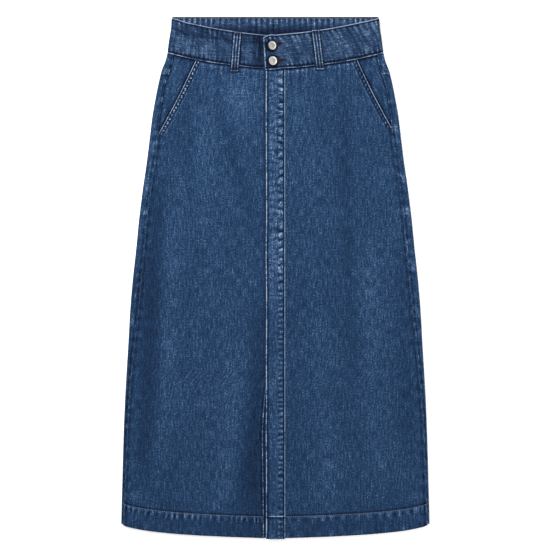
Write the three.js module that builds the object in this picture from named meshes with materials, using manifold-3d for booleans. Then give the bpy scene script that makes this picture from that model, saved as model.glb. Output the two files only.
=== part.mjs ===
// A mid-length A-line denim skirt laid flat on its back, front face up.
// Millimetres. +X is the wearer's left, +Y runs from hem to waist, +Z is up from the
// surface that the skirt lies on. Left and right in the names are the wearer's.
import * as THREE from "three";
import { mergeVertices } from "three/addons/utils/BufferGeometryUtils.js";
import Module from "manifold-3d";

// Thickness of the pressed layers
const CLOTH = 1.2;
const HEM_CLOTH = 2.2;
const BAND_CLOTH = 2.4;
const PLACKET_CLOTH = 1.8;
const LOOP_CLOTH = 1.5;
const SEAM_GAP = 0.3;

// Lengths along the skirt
const LENGTH = 860;
const WAIST_Y = LENGTH / 2;
const HEM_Y = -LENGTH / 2;
const HEM_DEPTH = 36;
const HEM_STEP = 1.2;
const SLIT_TOP_Y = -168;
const SLIT_EASE = 13;

// The band buttons over itself at the centre front
const UNDERLAP_END_X = 22;
const OVERLAP_END_X = { top: -20, bottom: -16.5 };
const OVERLAP_RAMP_X = { high: 25, low: 52 };
const OVERLAP_CORNER = { reach: 14, drop: 6.4 };
const OVERLAP_HANG = { drop: 2.6, toX: 14 };
const RIGHT_DIP = { drop: 1.6, fromX: 140, toX: 165 };
const BAND_BACK_Z = 1.8;
const BAND_FRONT_Z = 7;
const BAND_OVER_Z = BAND_FRONT_Z + SEAM_GAP + BAND_CLOTH;
const BAND_SIDE_RISE = 0.6;
const BAND_SIDE_FROM = 30;
const BAND_SIDE_TO = 62;

// The folded strip down the centre front, and the edges that meet under it
const PLACKET_X = { left: -15.6, right: 16.2 };
const PLACKET_BELOW_HEM = 1;
const UNDER_PLACKET_X = -11.5;
const CENTRE_SEAM_X = 1;

// Side folds: the back wraps forward to the side seams
const SIDE_PUFF = 0.7;
const SIDE_PUFF_FROM = 4;
const SIDE_PUFF_TO = 18;
const YOKE_SIDE_Y = 335;
const YOKE_CENTRE_DROP = 30;
const YOKE_LIFT = { fromY: 305, toY: 360, z: 2.4 };

// Pocket mouths, slanting from the band to the side seam
const POCKETS = {
  right: { topX: 130.8, bottomY: 236, bulge: 1.6 },
  left: { topX: 134.6, bottomY: 247, bulge: 1.6 },
};
const FACING_UNDER_PANEL = 26;
const FACING_UNDER_BACK = 3;
const FACING_BELOW_POCKET = 22;

// Belt loops
const LOOP_WIDTH = 11.8;
const LOOP_ARCH = 2.1;
const LOOP_ARCH_SPAN = { from: 0.12, to: 0.97 };
const LOOP_STEP_UP = { from: 8, to: 1 };
const FRONT_LOOPS = [
  { name: "belt_loop_front_right", topX: -62.1, bottomX: -67.2, topY: 403.6, bottomY: 339.6 },
  { name: "belt_loop_front_left", topX: 65.8, bottomX: 74, topY: 407.2, bottomY: 343 },
];
const BACK_LOOPS = [
  { name: "belt_loop_back_right", x: -104 },
  { name: "belt_loop_back_centre", x: 0 },
  { name: "belt_loop_back_left", x: 104 },
];
const BACK_LOOP_Y = { top: 429, bottom: 361 };

// Shank buttons and their buttonholes
const BUTTON_RADIUS = 7.5;
const BUTTON_SHANK_RADIUS = 2.1;
const BUTTON_CLEARANCE = 2.4;
const BUTTON_TILT = THREE.MathUtils.degToRad(22);
const BUTTON_SEGMENTS = 28;
const BUTTONS = [
  { name: "button_upper", x: -6.6, y: 381.3, holeEndX: 13.4, holeEndY: 386.4 },
  { name: "button_lower", x: -5.3, y: 356.4, holeEndX: 17.2, holeEndY: 359.4 },
];
const BUTTONHOLE_EYE = 3.3;
const BUTTONHOLE_SLOT = 1.1;
const BUTTONHOLE_CUT = 4;
// Face of a button's cap, from the shank out and back to the middle, above the cap's low side
const BUTTON_CAP = [
  { inFromRim: 1, z: 0.1 },
  { inFromRim: 0, z: 0.7 },
  { inFromRim: 0, z: 1.2 },
  { inFromRim: 0.6, z: 1.8 },
  { inFromRim: 1.6, z: 1.9 },
  { inFromRim: 2.4, z: 1.3 },
  { inFromRim: 5.2, z: 1.5 },
  { inFromRim: BUTTON_RADIUS, z: 1.7 },
];

// Half the width of the laid skirt, side fold to side fold
const SIDES = [
  { y: 430, half: 171 },
  { y: 412, half: 172 },
  { y: 392, half: 175 },
  { y: 367, half: 178.4 },
  { y: 355, half: 181.8 },
  { y: 342, half: 187 },
  { y: 318, half: 193 },
  { y: 293, half: 198 },
  { y: 268, half: 202.4 },
  { y: 244, half: 205.4 },
  { y: 194, half: 211.5 },
  { y: 145, half: 218.6 },
  { y: 95, half: 224.8 },
  { y: 46, half: 229.6 },
  { y: -4, half: 235.1 },
  { y: -53, half: 239.2 },
  { y: -103, half: 242 },
  { y: -152, half: 245 },
  { y: -202, half: 247.8 },
  { y: -251, half: 249.8 },
  { y: -301, half: 251.3 },
  { y: -350, half: 252.6 },
  { y: -405, half: 254 },
];

// How far the side seam lies in from the side fold
const SIDE_SEAM = [
  { y: 372, inset: 10 },
  { y: 340, inset: 14 },
  { y: 318, inset: 11.8 },
  { y: 250, inset: 13.2 },
  { y: 95, inset: 12.2 },
  { y: -50, inset: 12.8 },
  { y: -116, inset: 9 },
  { y: -200, inset: 6.4 },
  { y: -290, inset: 4.9 },
  { y: -405, inset: 4 },
];

// Hem edge, from the centre to the side
const HEM_EDGE = [
  { x: 0, y: -429 },
  { x: 84, y: -426.2 },
  { x: 150, y: -422.6 },
  { x: 190, y: -419 },
  { x: 216, y: -415.6 },
  { x: 243, y: -410 },
  { x: 254, y: -405 },
];

// Folded edge of the right front beside the slit: it comes out from under the placket
const SLIT_EDGE = [
  { y: -181, x: -15 },
  { y: -215, x: -18.3 },
  { y: -255, x: -20.4 },
  { y: -340, x: -19.6 },
  { y: -430, x: -18.6 },
];

// Front of the waistband, from the centre to the side: it dips below the back
const BAND_FRONT = [
  { x: 0, topY: 399.4, seamY: 343.7 },
  { x: 35, topY: 403, seamY: 345.6 },
  { x: 65, topY: 406.8, seamY: 349 },
  { x: 100, topY: 412.3, seamY: 353.3 },
  { x: 137, topY: 419.8, seamY: 359.9 },
  { x: 160, topY: 424.8, seamY: 365.2 },
  { x: 175, topY: 428.6, seamY: 369 },
];
const BAND_SIDE = { x: 175, seamY: 369 };
const BAND_BACK = [{ x: 0, seamY: 367 }, BAND_SIDE];

// Height of the outer face of the front above the surface, before its folds
const FRONT_LEVEL = [
  { y: -430, z: 5.3 },
  { y: -390, z: 5.2 },
  { y: -340, z: 4.2 },
  { y: 0, z: 4 },
  { y: 170, z: 4.1 },
  { y: 240, z: 4.9 },
  { y: 300, z: 5.1 },
  { y: 345, z: 6.5 },
  { y: 372, z: 6.8 },
];

// Soft folds of the front: ridges are raised and troughs are lowered
const FOLDS = [
  { fromX: -27, fromY: -60, toX: -37, toY: -372, width: 15, rise: -1.05 },
  { fromX: -62, fromY: -120, toX: -78, toY: -380, width: 24, rise: 0.8 },
  { fromX: -192, fromY: 150, toX: -222, toY: -330, width: 13, rise: -0.95 },
  { fromX: -168, fromY: 90, toX: -186, toY: -300, width: 17, rise: 0.7 },
  { fromX: -145, fromY: 300, toX: -137, toY: 110, width: 9, rise: -0.5 },
  { fromX: -99, fromY: 300, toX: -27, toY: 60, width: 10, rise: -0.6 },
  { fromX: -58, fromY: 322, toX: -52, toY: 250, width: 16, rise: 0.7 },
  { fromX: 66, fromY: 322, toX: 78, toY: 236, width: 9, rise: -0.6 },
  { fromX: 115, fromY: 300, toX: 124, toY: -120, width: 12, rise: -0.7 },
  { fromX: 150, fromY: 40, toX: 168, toY: -330, width: 20, rise: 0.7 },
  { fromX: 204, fromY: 60, toX: 222, toY: -300, width: 12, rise: -0.6 },
  { fromX: 74, fromY: -60, toX: 86, toY: -370, width: 24, rise: 0.6 },
];
const FOLD_END = 45;

const DENIM = { color: 0x2e476a, roughness: 0.92, metalness: 0 };
const BAND_DENIM = { color: 0x384d6a, roughness: 0.92, metalness: 0 };
const METAL = { color: 0xd8d6cf, roughness: 0.35, metalness: 0.85 };

const { lerp, smoothstep } = THREE.MathUtils;
const wasm = await Module();
wasm.setup();

// A smooth function through one column of a table whose rows are sorted by another
function through(rows, at, value) {
  const sorted = [...rows].sort((a, b) => a[at] - b[at]);
  const slope = (i, j) => (sorted[j][value] - sorted[i][value]) / (sorted[j][at] - sorted[i][at]);
  const last = sorted.length - 1;
  return (x) => {
    if (x <= sorted[0][at]) return sorted[0][value];
    if (x >= sorted[last][at]) return sorted[last][value];
    const i = sorted.findIndex((row) => row[at] > x) - 1;
    const span = sorted[i + 1][at] - sorted[i][at];
    const t = (x - sorted[i][at]) / span;
    const before = slope(Math.max(i - 1, 0), i + 1) * span;
    const after = slope(i, Math.min(i + 2, last)) * span;
    const t2 = t * t;
    const t3 = t2 * t;
    return (
      (2 * t3 - 3 * t2 + 1) * sorted[i][value] +
      (t3 - 2 * t2 + t) * before +
      (3 * t2 - 2 * t3) * sorted[i + 1][value] +
      (t3 - t2) * after
    );
  };
}

const halfWidth = through(SIDES, "y", "half");
const seamInset = through(SIDE_SEAM, "y", "inset");
const hemEdge = through(HEM_EDGE, "x", "y");
const frontTop = through(BAND_FRONT, "x", "topY");
const frontSeam = through(BAND_FRONT, "x", "seamY");
const backSeam = through(BAND_BACK, "x", "seamY");
const slitEdgeX = through(SLIT_EDGE, "y", "x");
const frontLevel = through(FRONT_LEVEL, "y", "z");

const seamX = (y) => halfWidth(y) - seamInset(y);
const yokeY = (x) => YOKE_SIDE_Y - YOKE_CENTRE_DROP * (1 - Math.abs(x) / halfWidth(YOKE_SIDE_Y));
const backUnderside = (y) => YOKE_LIFT.z * smoothstep(y, YOKE_LIFT.fromY, YOKE_LIFT.toY);

// Height that one soft fold adds at a point: a bell across it, fading at both ends
function foldRise(fold, x, y) {
  const alongX = fold.toX - fold.fromX;
  const alongY = fold.toY - fold.fromY;
  const length = Math.hypot(alongX, alongY);
  const along = ((x - fold.fromX) * alongX + (y - fold.fromY) * alongY) / length;
  const across = ((x - fold.fromX) * alongY - (y - fold.fromY) * alongX) / length;
  const start = smoothstep(along, -FOLD_END, FOLD_END);
  const end = 1 - smoothstep(along, length - FOLD_END, length + FOLD_END);
  return fold.rise * Math.exp(-((across / fold.width) ** 2)) * start * end;
}

// Outer face of the front, shared by every piece that lies in it or on it
function frontZ(x, y) {
  const folds = FOLDS.reduce((sum, fold) => sum + foldRise(fold, x, y), 0);
  const fromSide = halfWidth(y) - Math.abs(x);
  const inner = smoothstep(fromSide, SIDE_PUFF_FROM, SIDE_PUFF_TO);
  return frontLevel(y) + SIDE_PUFF * (1 - inner) + folds * inner;
}

// A closed thin wall between an outer and an inner face, both given as (column, row) => point
function wall(columns, rows, outer, inner) {
  const points = [];
  for (const face of [outer, inner])
    for (let i = 0; i <= columns; i++)
      for (let j = 0; j <= rows; j++) points.push(...face(i, j));
  const at = (face, i, j) => (face * (columns + 1) + i) * (rows + 1) + j;
  const faces = [];
  const quad = (a, b, c, d) => faces.push(a, b, c, a, c, d);
  for (let i = 0; i < columns; i++)
    for (let j = 0; j < rows; j++) {
      quad(at(0, i, j), at(0, i + 1, j), at(0, i + 1, j + 1), at(0, i, j + 1));
      quad(at(1, i, j), at(1, i, j + 1), at(1, i + 1, j + 1), at(1, i + 1, j));
    }
  for (let i = 0; i < columns; i++) {
    quad(at(0, i, 0), at(1, i, 0), at(1, i + 1, 0), at(0, i + 1, 0));
    quad(at(0, i, rows), at(0, i + 1, rows), at(1, i + 1, rows), at(1, i, rows));
  }
  for (let j = 0; j < rows; j++) {
    quad(at(0, 0, j), at(0, 0, j + 1), at(1, 0, j + 1), at(1, 0, j));
    quad(at(0, columns, j), at(1, columns, j), at(1, columns, j + 1), at(0, columns, j + 1));
  }
  return facingOut(points, faces);
}

// The geometry with its faces turned so that they point out of the solid
function facingOut(points, faces) {
  const corner = (k) => new THREE.Vector3().fromArray(points, faces[k] * 3);
  let volume = 0;
  for (let k = 0; k < faces.length; k += 3)
    volume += corner(k).dot(corner(k + 1).cross(corner(k + 2)));
  if (volume < 0) faces.reverse();
  const geometry = new THREE.BufferGeometry();
  geometry.setAttribute("position", new THREE.Float32BufferAttribute(points, 3));
  geometry.setIndex(faces);
  return geometry;
}

// Distances along a line that passes every station, split into the given number of steps
function stepsThrough(stations, counts) {
  const steps = [stations[0]];
  counts.forEach((count, i) => {
    for (let k = 1; k <= count; k++) steps.push(lerp(stations[i], stations[i + 1], k / count));
  });
  return steps;
}

const total = (counts) => counts.reduce((sum, count) => sum + count, 0);

// Where the line x = across(y) meets the edge y = edge(|x|), found by closing in on it
const CLOSING_STEPS = 6;
function meeting(across, edge) {
  let y = edge(0);
  for (let k = 0; k < CLOSING_STEPS; k++) y = edge(Math.abs(across(y)));
  return y;
}

// Rows of a panel from its hem up, with two close rows where the turned-up hem ends
const hemStations = (edgeY) => [edgeY, edgeY + HEM_DEPTH, edgeY + HEM_DEPTH + HEM_STEP];
const HEM_ROWS = [2, 1];
const inHem = (row) => row <= HEM_ROWS[0];

// One half of a front panel. side is 1 for the wearer's left and -1 for the right.
function frontPanel(side, pocket, innerX) {
  const columns = 15;
  const rowCounts = [...HEM_ROWS, 9, 3, 12, 5];
  const pocketX = pocketLine(pocket);
  const outerX = (y) => (y > pocket.bottomY ? pocketX(y) : seamX(y)) - SEAM_GAP;
  const place = (i, j) => {
    const u = i / columns;
    const across = (y) => lerp(innerX(y), side * outerX(y), u);
    const topY = meeting(across, frontSeam) - SEAM_GAP;
    const stations = [
      ...hemStations(meeting(across, hemEdge)),
      SLIT_TOP_Y - SLIT_EASE,
      SLIT_TOP_Y + SLIT_EASE,
      pocket.bottomY,
      topY,
    ];
    const y = stepsThrough(stations, rowCounts)[j];
    const x = across(y);
    return [x, y, frontZ(x, y)];
  };
  const inner = (i, j) => {
    const [x, y, z] = place(i, j);
    return [x, y, z - (inHem(j) ? HEM_CLOTH : CLOTH)];
  };
  return wall(columns, total(rowCounts), place, inner);
}

// The folded edge of a pocket mouth, as half-width against y
function pocketLine(pocket) {
  const topY = frontSeam(pocket.topX);
  const bottomX = seamX(pocket.bottomY);
  return (y) => {
    const t = (topY - y) / (topY - pocket.bottomY);
    return lerp(pocket.topX, bottomX, t) - pocket.bulge * Math.sin(Math.PI * t);
  };
}

// The hip piece that shows inside a pocket mouth, one layer below the front
function pocketFacing(side, pocket) {
  const columns = 8;
  const rows = 8;
  const depth = CLOTH + SEAM_GAP;
  const bottomY = pocket.bottomY - FACING_BELOW_POCKET;
  const line = pocketLine(pocket);
  const face = (drop) => (i, j) => {
    const across = (y) => lerp(line(y) - FACING_UNDER_PANEL, seamX(y) + FACING_UNDER_BACK, i / columns);
    const topY = meeting(across, frontSeam) - SEAM_GAP;
    const y = lerp(bottomY, topY, j / rows);
    const x = side * across(y);
    return [x, y, frontZ(x, y) - drop];
  };
  return wall(columns, rows, face(depth), face(depth + CLOTH));
}

// One half of the back: flat on the surface, round the side fold and forward to the side seam
function backHalf(side, rowCounts, stationsAt, thickness) {
  const flat = [0, 0.2, 0.4, 0.6, 0.8, 0.94, 1];
  const arcSteps = 6;
  const wrapSteps = 2;
  const columns = flat.length - 1 + arcSteps + wrapSteps;
  const point = (i, j, inward) => {
    const share = Math.min(i / (flat.length - 1), 1);
    const wrapped = Math.max(0, (i - flat.length + 1 - arcSteps) / wrapSteps);
    const y = stepsThrough(stationsAt(share, wrapped), rowCounts)[j];
    const half = halfWidth(y);
    const low = backUnderside(y);
    const high = frontZ(half, y);
    const radius = (high - low) / 2;
    const depth = inward ? thickness(j) : 0;
    if (i < flat.length) {
      const x = Math.max(flat[i] * (half - radius), SEAM_GAP / 2);
      return [side * x, y, low + depth];
    }
    const turn = Math.min((i - flat.length + 1) / arcSteps, 1) * Math.PI - Math.PI / 2;
    if (i < flat.length + arcSteps) {
      const reach = radius - depth;
      return [side * (half - radius + reach * Math.cos(turn)), y, low + radius + reach * Math.sin(turn)];
    }
    const x = side * lerp(half - radius, seamX(y), wrapped);
    return [x, y, frontZ(x, y) - depth];
  };
  return wall(
    columns,
    total(rowCounts),
    (i, j) => point(i, j, false),
    (i, j) => point(i, j, true),
  );
}

function backPanel(side) {
  const rowCounts = [...HEM_ROWS, 24];
  const hemX = (share, wrapped) => lerp(share * halfWidth(HEM_Y), seamX(HEM_Y), wrapped);
  const stationsAt = (share, wrapped) => [
    ...hemStations(hemEdge(hemX(share, wrapped))),
    yokeY(share * halfWidth(YOKE_SIDE_Y)) - SEAM_GAP / 2,
  ];
  return backHalf(side, rowCounts, stationsAt, (row) => (inHem(row) ? HEM_CLOTH : CLOTH));
}

function backYoke(side) {
  const topY = (share, wrapped) =>
    wrapped ? frontSeam(lerp(BAND_SIDE.x, seamX(BAND_SIDE.seamY), wrapped)) : backSeam(share * BAND_SIDE.x);
  const stationsAt = (share, wrapped) => [
    yokeY(share * halfWidth(YOKE_SIDE_Y)) + SEAM_GAP / 2,
    topY(share, wrapped) - SEAM_GAP,
  ];
  return backHalf(side, [5], stationsAt, () => CLOTH);
}

// Outer face of the front of the waistband; the wearer's left half lies over the right
function bandZ(x, left) {
  const sides = BAND_SIDE_RISE * smoothstep(Math.abs(x), BAND_SIDE_FROM, BAND_SIDE_TO);
  const over = left ? 1 - smoothstep(x, OVERLAP_RAMP_X.high, OVERLAP_RAMP_X.low) : 0;
  return lerp(BAND_FRONT_Z + sides, BAND_OVER_Z, over);
}

// The waistband, one doubled strip from the buttons round the back to the buttonholes
function waistband() {
  const frontSteps = 14;
  const arcSteps = 6;
  const backSteps = 10;
  const rows = 5;
  const counts = [frontSteps, arcSteps, backSteps, arcSteps, frontSteps];
  const columns = total(counts);
  const high = BAND_FRONT_Z + BAND_SIDE_RISE;
  const radius = (high - BAND_BACK_Z) / 2;
  const stretch = (i) => {
    let k = 0;
    while (k < counts.length - 1 && i > counts[k]) i -= counts[k++];
    return { k, t: i / counts[k] };
  };
  const point = (i, j, depth) => {
    const { k, t } = stretch(i);
    const v = j / rows;
    const side = k < 2 || (k === 2 && t < 0.5) ? -1 : 1;
    if (k === 0 || k === 4) {
      const end = k ? lerp(OVERLAP_END_X.bottom, OVERLAP_END_X.top, v) : UNDERLAP_END_X;
      const across = (y) => lerp(end, side * (halfWidth(y) - radius), k ? 1 - t : t);
      const topDrop = k ? cornerDrop : rightDip;
      const topY = meeting(across, frontTop) - topDrop(across(WAIST_Y));
      const seamY = meeting(across, frontSeam) - (k ? overlapHang(across(BAND_SIDE.seamY)) : 0);
      const y = lerp(seamY, topY, v);
      const x = across(y);
      return [x, y, bandZ(x, k === 4) - depth];
    }
    if (k === 2) {
      const across = (y) => lerp(-1, 1, t) * (halfWidth(y) - radius);
      const x = across(WAIST_Y);
      const y = lerp(backSeam(Math.abs(x)), WAIST_Y, v);
      return [across(y), y, BAND_BACK_Z + depth];
    }
    const turn = (k === 1 ? 1 - t : t) * Math.PI - Math.PI / 2;
    const forward = (Math.sin(turn) + 1) / 2;
    const topY = lerp(WAIST_Y, frontTop(halfWidth(WAIST_Y) - radius), forward);
    const y = lerp(BAND_SIDE.seamY, topY, v);
    const reach = radius - depth;
    const x = side * (halfWidth(y) - radius + reach * Math.cos(turn));
    return [x, y, BAND_BACK_Z + radius + reach * Math.sin(turn)];
  };
  return wall(
    columns,
    rows,
    (i, j) => point(i, j, 0),
    (i, j) => point(i, j, BAND_CLOTH),
  );
}

// The end of the overlap hangs a little below the seam
function overlapHang(x) {
  return OVERLAP_HANG.drop * (1 - smoothstep(x, OVERLAP_END_X.bottom, OVERLAP_HANG.toX));
}

// The upper corner of the overlap is rounded off
function cornerDrop(x) {
  const near = Math.max(0, 1 - (x - OVERLAP_END_X.top) / OVERLAP_CORNER.reach);
  return OVERLAP_CORNER.drop * near * near;
}

// The wearer's right half of the front lies a little lower than the left
function rightDip(x) {
  return RIGHT_DIP.drop * (1 - smoothstep(Math.abs(x), RIGHT_DIP.fromX, RIGHT_DIP.toX));
}

// The folded strip down the centre front, lying on both front panels
function placket() {
  const columns = 4;
  const rowCounts = [...HEM_ROWS, 44];
  const face = (lift) => (i, j) => {
    const x = lerp(PLACKET_X.left, PLACKET_X.right, i / columns);
    const stations = [
      ...hemStations(hemEdge(Math.abs(x)) - PLACKET_BELOW_HEM),
      frontSeam(Math.abs(x)) - overlapHang(x) - SEAM_GAP,
    ];
    const y = stepsThrough(stations, rowCounts)[j];
    return [x, y, frontZ(x, y) + lift];
  };
  return wall(columns, total(rowCounts), face(SEAM_GAP + PLACKET_CLOTH), face(SEAM_GAP));
}

// A belt loop over the front of the waistband, sewn down at both ends
function frontLoop({ topX, bottomX, topY, bottomY }) {
  const rows = 14;
  const left = topX > 0;
  const face = (lift) => (i, j) => {
    const v = j / rows;
    const y = lerp(bottomY, topY, v);
    const x = lerp(bottomX, topX, v) + (i - 1) * (LOOP_WIDTH / 2);
    const onPanel = frontZ(x, y);
    const seam = frontSeam(Math.abs(x));
    const onBand = smoothstep(y, seam - LOOP_STEP_UP.from, seam - LOOP_STEP_UP.to);
    const seat = lerp(onPanel, bandZ(x, left), onBand);
    const arch = LOOP_ARCH * Math.sin(Math.PI * smoothstep(v, LOOP_ARCH_SPAN.from, LOOP_ARCH_SPAN.to));
    return [x, y, seat + SEAM_GAP + arch + lift];
  };
  return wall(2, rows, face(LOOP_CLOTH), face(0));
}

// A belt loop of the back, pressed flat between the waistband and the surface
function backLoop() {
  const geometry = new THREE.BoxGeometry(LOOP_WIDTH, BACK_LOOP_Y.top - BACK_LOOP_Y.bottom, LOOP_CLOTH);
  geometry.translate(0, (BACK_LOOP_Y.top + BACK_LOOP_Y.bottom) / 2, LOOP_CLOTH / 2);
  return geometry;
}

// A shank button, turned about +Z, with its foot at the origin
function button() {
  const capLow = BAND_OVER_Z - BAND_FRONT_Z - SEAM_GAP + BUTTON_CLEARANCE;
  const profile = [
    { r: 0, z: 0 },
    { r: BUTTON_SHANK_RADIUS, z: 0 },
    { r: BUTTON_SHANK_RADIUS, z: capLow },
    ...BUTTON_CAP.map((row) => ({ r: BUTTON_RADIUS - row.inFromRim, z: capLow + row.z })),
  ];
  const lathe = new THREE.LatheGeometry(
    profile.map(({ r, z }) => new THREE.Vector2(r, z)),
    BUTTON_SEGMENTS,
  );
  return lathe.rotateX(Math.PI / 2);
}

// The cutter of a keyhole buttonhole: a round eye at the shank and a slot away from it
function buttonhole({ x, y, holeEndX, holeEndY }) {
  const along = new THREE.Vector2(holeEndX - x, holeEndY - y);
  const slotAt = Math.asin(BUTTONHOLE_SLOT / BUTTONHOLE_EYE);
  const shape = new THREE.Shape();
  shape.absarc(0, 0, BUTTONHOLE_EYE, slotAt, 2 * Math.PI - slotAt, false);
  shape.lineTo(along.length(), 0);
  const options = { depth: BUTTONHOLE_CUT, bevelEnabled: false, curveSegments: 14 };
  const cutter = new THREE.ExtrudeGeometry(shape, options);
  return cutter.rotateZ(along.angle()).translate(x, y, BAND_FRONT_Z + SEAM_GAP / 2);
}

// A closed geometry as a solid that can be cut
function solidOf(geometry) {
  const bare = geometry.clone();
  bare.deleteAttribute("normal");
  bare.deleteAttribute("uv");
  const merged = mergeVertices(bare, 1e-4);
  return new wasm.Manifold(
    new wasm.Mesh({
      numProp: 3,
      vertProperties: merged.attributes.position.array,
      triVerts: new Uint32Array(merged.index.array),
    }),
  );
}

function geometryOf(solid) {
  const mesh = solid.getMesh();
  const geometry = new THREE.BufferGeometry();
  geometry.setAttribute("position", new THREE.BufferAttribute(mesh.vertProperties, 3));
  geometry.setIndex(new THREE.BufferAttribute(mesh.triVerts, 1));
  return geometry;
}

function waistbandWithHoles() {
  const cut = BUTTONS.reduce((band, row) => band.subtract(solidOf(buttonhole(row))), solidOf(waistband()));
  return geometryOf(cut);
}

const skirt = new THREE.Group();

function add(name, geometry, look, parent = skirt) {
  geometry.computeVertexNormals();
  const mesh = new THREE.Mesh(geometry, new THREE.MeshStandardMaterial(look));
  mesh.name = name;
  parent.add(mesh);
  return mesh;
}

// The two front edges meet under the placket, and part below the top of the slit
const slit = (y) => smoothstep(y, SLIT_TOP_Y - SLIT_EASE, SLIT_TOP_Y + SLIT_EASE);
const rightEdgeX = (y) => lerp(slitEdgeX(y), CENTRE_SEAM_X - SEAM_GAP, slit(y));
const leftEdgeX = (y) => lerp(UNDER_PLACKET_X, CENTRE_SEAM_X, slit(y));

add("back_panel_right", backPanel(-1), DENIM);
add("back_panel_left", backPanel(1), DENIM);
add("back_yoke_right", backYoke(-1), DENIM);
add("back_yoke_left", backYoke(1), DENIM);
add("front_panel_right", frontPanel(-1, POCKETS.right, rightEdgeX), DENIM);
add("front_panel_left", frontPanel(1, POCKETS.left, leftEdgeX), DENIM);
add("pocket_facing_right", pocketFacing(-1, POCKETS.right), DENIM);
add("pocket_facing_left", pocketFacing(1, POCKETS.left), DENIM);
add("front_placket", placket(), DENIM);
add("waistband", waistbandWithHoles(), BAND_DENIM);

for (const row of FRONT_LOOPS) add(row.name, frontLoop(row), BAND_DENIM);
for (const row of BACK_LOOPS) add(row.name, backLoop(), BAND_DENIM).position.x = row.x;

for (const row of BUTTONS) {
  const seat = new THREE.Group();
  seat.position.set(row.x, row.y, BAND_FRONT_Z + SEAM_GAP + BUTTON_SHANK_RADIUS * Math.sin(BUTTON_TILT));
  seat.rotation.y = BUTTON_TILT;
  add(row.name, button(), METAL, seat);
  skirt.add(seat);
}

export default skirt;
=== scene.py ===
"""A mid-length denim skirt laid flat on its back, front face up, in metres.

Shapes are worked out in millimetres in the part's own frame: +X is the wearer's left, +Y runs from hem
to waist and +Z is up from the surface. Each cloth piece is a thin closed shell on its solid's form, with
its creases, puckers, turned edges and sewing. "tone" is a number stored on every cloth point: above 0 the
dye is worn pale, with painted light in a few places; below 0 it is dark dye and painted shade, in creases,
furrows and gaps and under edges.
"""
import math

import bmesh
import bpy
import numpy as np
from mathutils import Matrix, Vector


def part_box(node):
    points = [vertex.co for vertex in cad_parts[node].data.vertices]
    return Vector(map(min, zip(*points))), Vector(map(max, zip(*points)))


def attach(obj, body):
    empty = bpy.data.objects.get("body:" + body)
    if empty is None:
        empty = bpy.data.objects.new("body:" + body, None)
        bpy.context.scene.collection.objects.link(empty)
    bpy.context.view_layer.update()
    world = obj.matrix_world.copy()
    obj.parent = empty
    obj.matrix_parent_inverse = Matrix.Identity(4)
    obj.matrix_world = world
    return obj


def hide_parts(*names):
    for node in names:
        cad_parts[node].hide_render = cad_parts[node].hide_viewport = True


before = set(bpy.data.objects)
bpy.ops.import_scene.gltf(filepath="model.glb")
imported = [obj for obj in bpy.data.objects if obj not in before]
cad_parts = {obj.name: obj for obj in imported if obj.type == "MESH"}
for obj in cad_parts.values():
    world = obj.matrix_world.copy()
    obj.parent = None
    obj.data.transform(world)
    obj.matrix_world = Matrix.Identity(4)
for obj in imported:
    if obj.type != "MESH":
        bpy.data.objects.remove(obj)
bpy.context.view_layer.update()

MM = 0.001
ROOT = "root"
UP = (0, 0, 1)
DOWN = (0, 0, -1)
ACROSS = (1, 0, 0)
FAR = 99

# Pressed cloth, as in the solids
CLOTH = 1.2
HEM_CLOTH = 2.2
BAND_CLOTH = 2.4
PLACKET_CLOTH = 1.8
LOOP_CLOTH = 1.5
GAP = 0.3

# Lengths along the skirt, and the levels of its band, taken from the solids
WAIST_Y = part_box("waistband")[1][1] / MM
HEM_Y = -WAIST_Y
HEM_DEPTH = 36
HEM_SIDE_Y = -405
HEM_FOLD_X = 251.2
SLIT_TOP_Y = -168
SLIT_EASE = 13
UNDER_PLACKET_X = -11.5
CENTRE_SEAM_X = 1
PLACKET_LEFT_X = -15.6
PLACKET_RIGHT_X = 16.2
UNDERLAP_END_X = 22
OVERLAP_TOP_X = -20
OVERLAP_BOTTOM_X = -16.5
OVERLAP_HIGH_X = 25
OVERLAP_LOW_X = 52
OVERLAP_CORNER = 14
OVERLAP_CORNER_DROP = 6.5
BAND_HEIGHT = 60
BAND_BACK_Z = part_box("waistband")[0][2] / MM
BAND_OVER_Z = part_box("waistband")[1][2] / MM
BAND_FRONT_Z = BAND_OVER_Z - BAND_CLOTH - GAP
BAND_SIDE_RISE = 0.6
BAND_SIDE_X = 175
BAND_SIDE_Y = 369
SIDE_PUFF = 0.7
YOKE_SIDE_Y = 335
YOKE_CENTRE_DROP = 30
YOKE_LIFT = 2.4
FACING_UNDER_PANEL = 26
FACING_UNDER_BACK = 3
FACING_BELOW_POCKET = 22
LOOP_WIDTH = 11.8
LOOP_RIDGE = 4.7

SIDES = {
    "y": [430, 412, 392, 367, 355, 342, 318, 293, 268, 244, 194, 145, 95, 46, -4, -53, -103, -152, -202,
          -251, -301, -350, HEM_SIDE_Y],
    "half": [171, 172, 175, 178.4, 181.8, 187, 193, 198, 202.4, 205.4, 211.5, 218.6, 224.8, 229.6, 235.1,
             239.2, 242, 245, 247.8, 249.8, 251.3, 252.6, 254],
}
SIDE_SEAM = {
    "y": [372, 340, 318, 250, 95, -50, -116, -200, -290, HEM_SIDE_Y],
    "inset": [10, 14, 11.8, 13.2, 12.2, 12.8, 9, 6.4, 4.9, 4],
}
HEM_EDGE = {
    "x": [0, 84, 150, 190, 216, 243, 254],
    "y": [-429, -426.2, -422.6, -419, -415.6, -410, HEM_SIDE_Y],
}
BAND_FRONT = {
    "x": [0, 35, 65, 100, 137, 160, 175],
    "top_y": [399.4, 403, 406.8, 412.3, 419.8, 424.8, 428.6],
    "seam_y": [343.7, 345.6, 349, 353.3, 359.9, 365.2, 369],
}
BAND_BACK = {"x": [0, BAND_SIDE_X], "seam_y": [367, BAND_SIDE_Y]}
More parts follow.
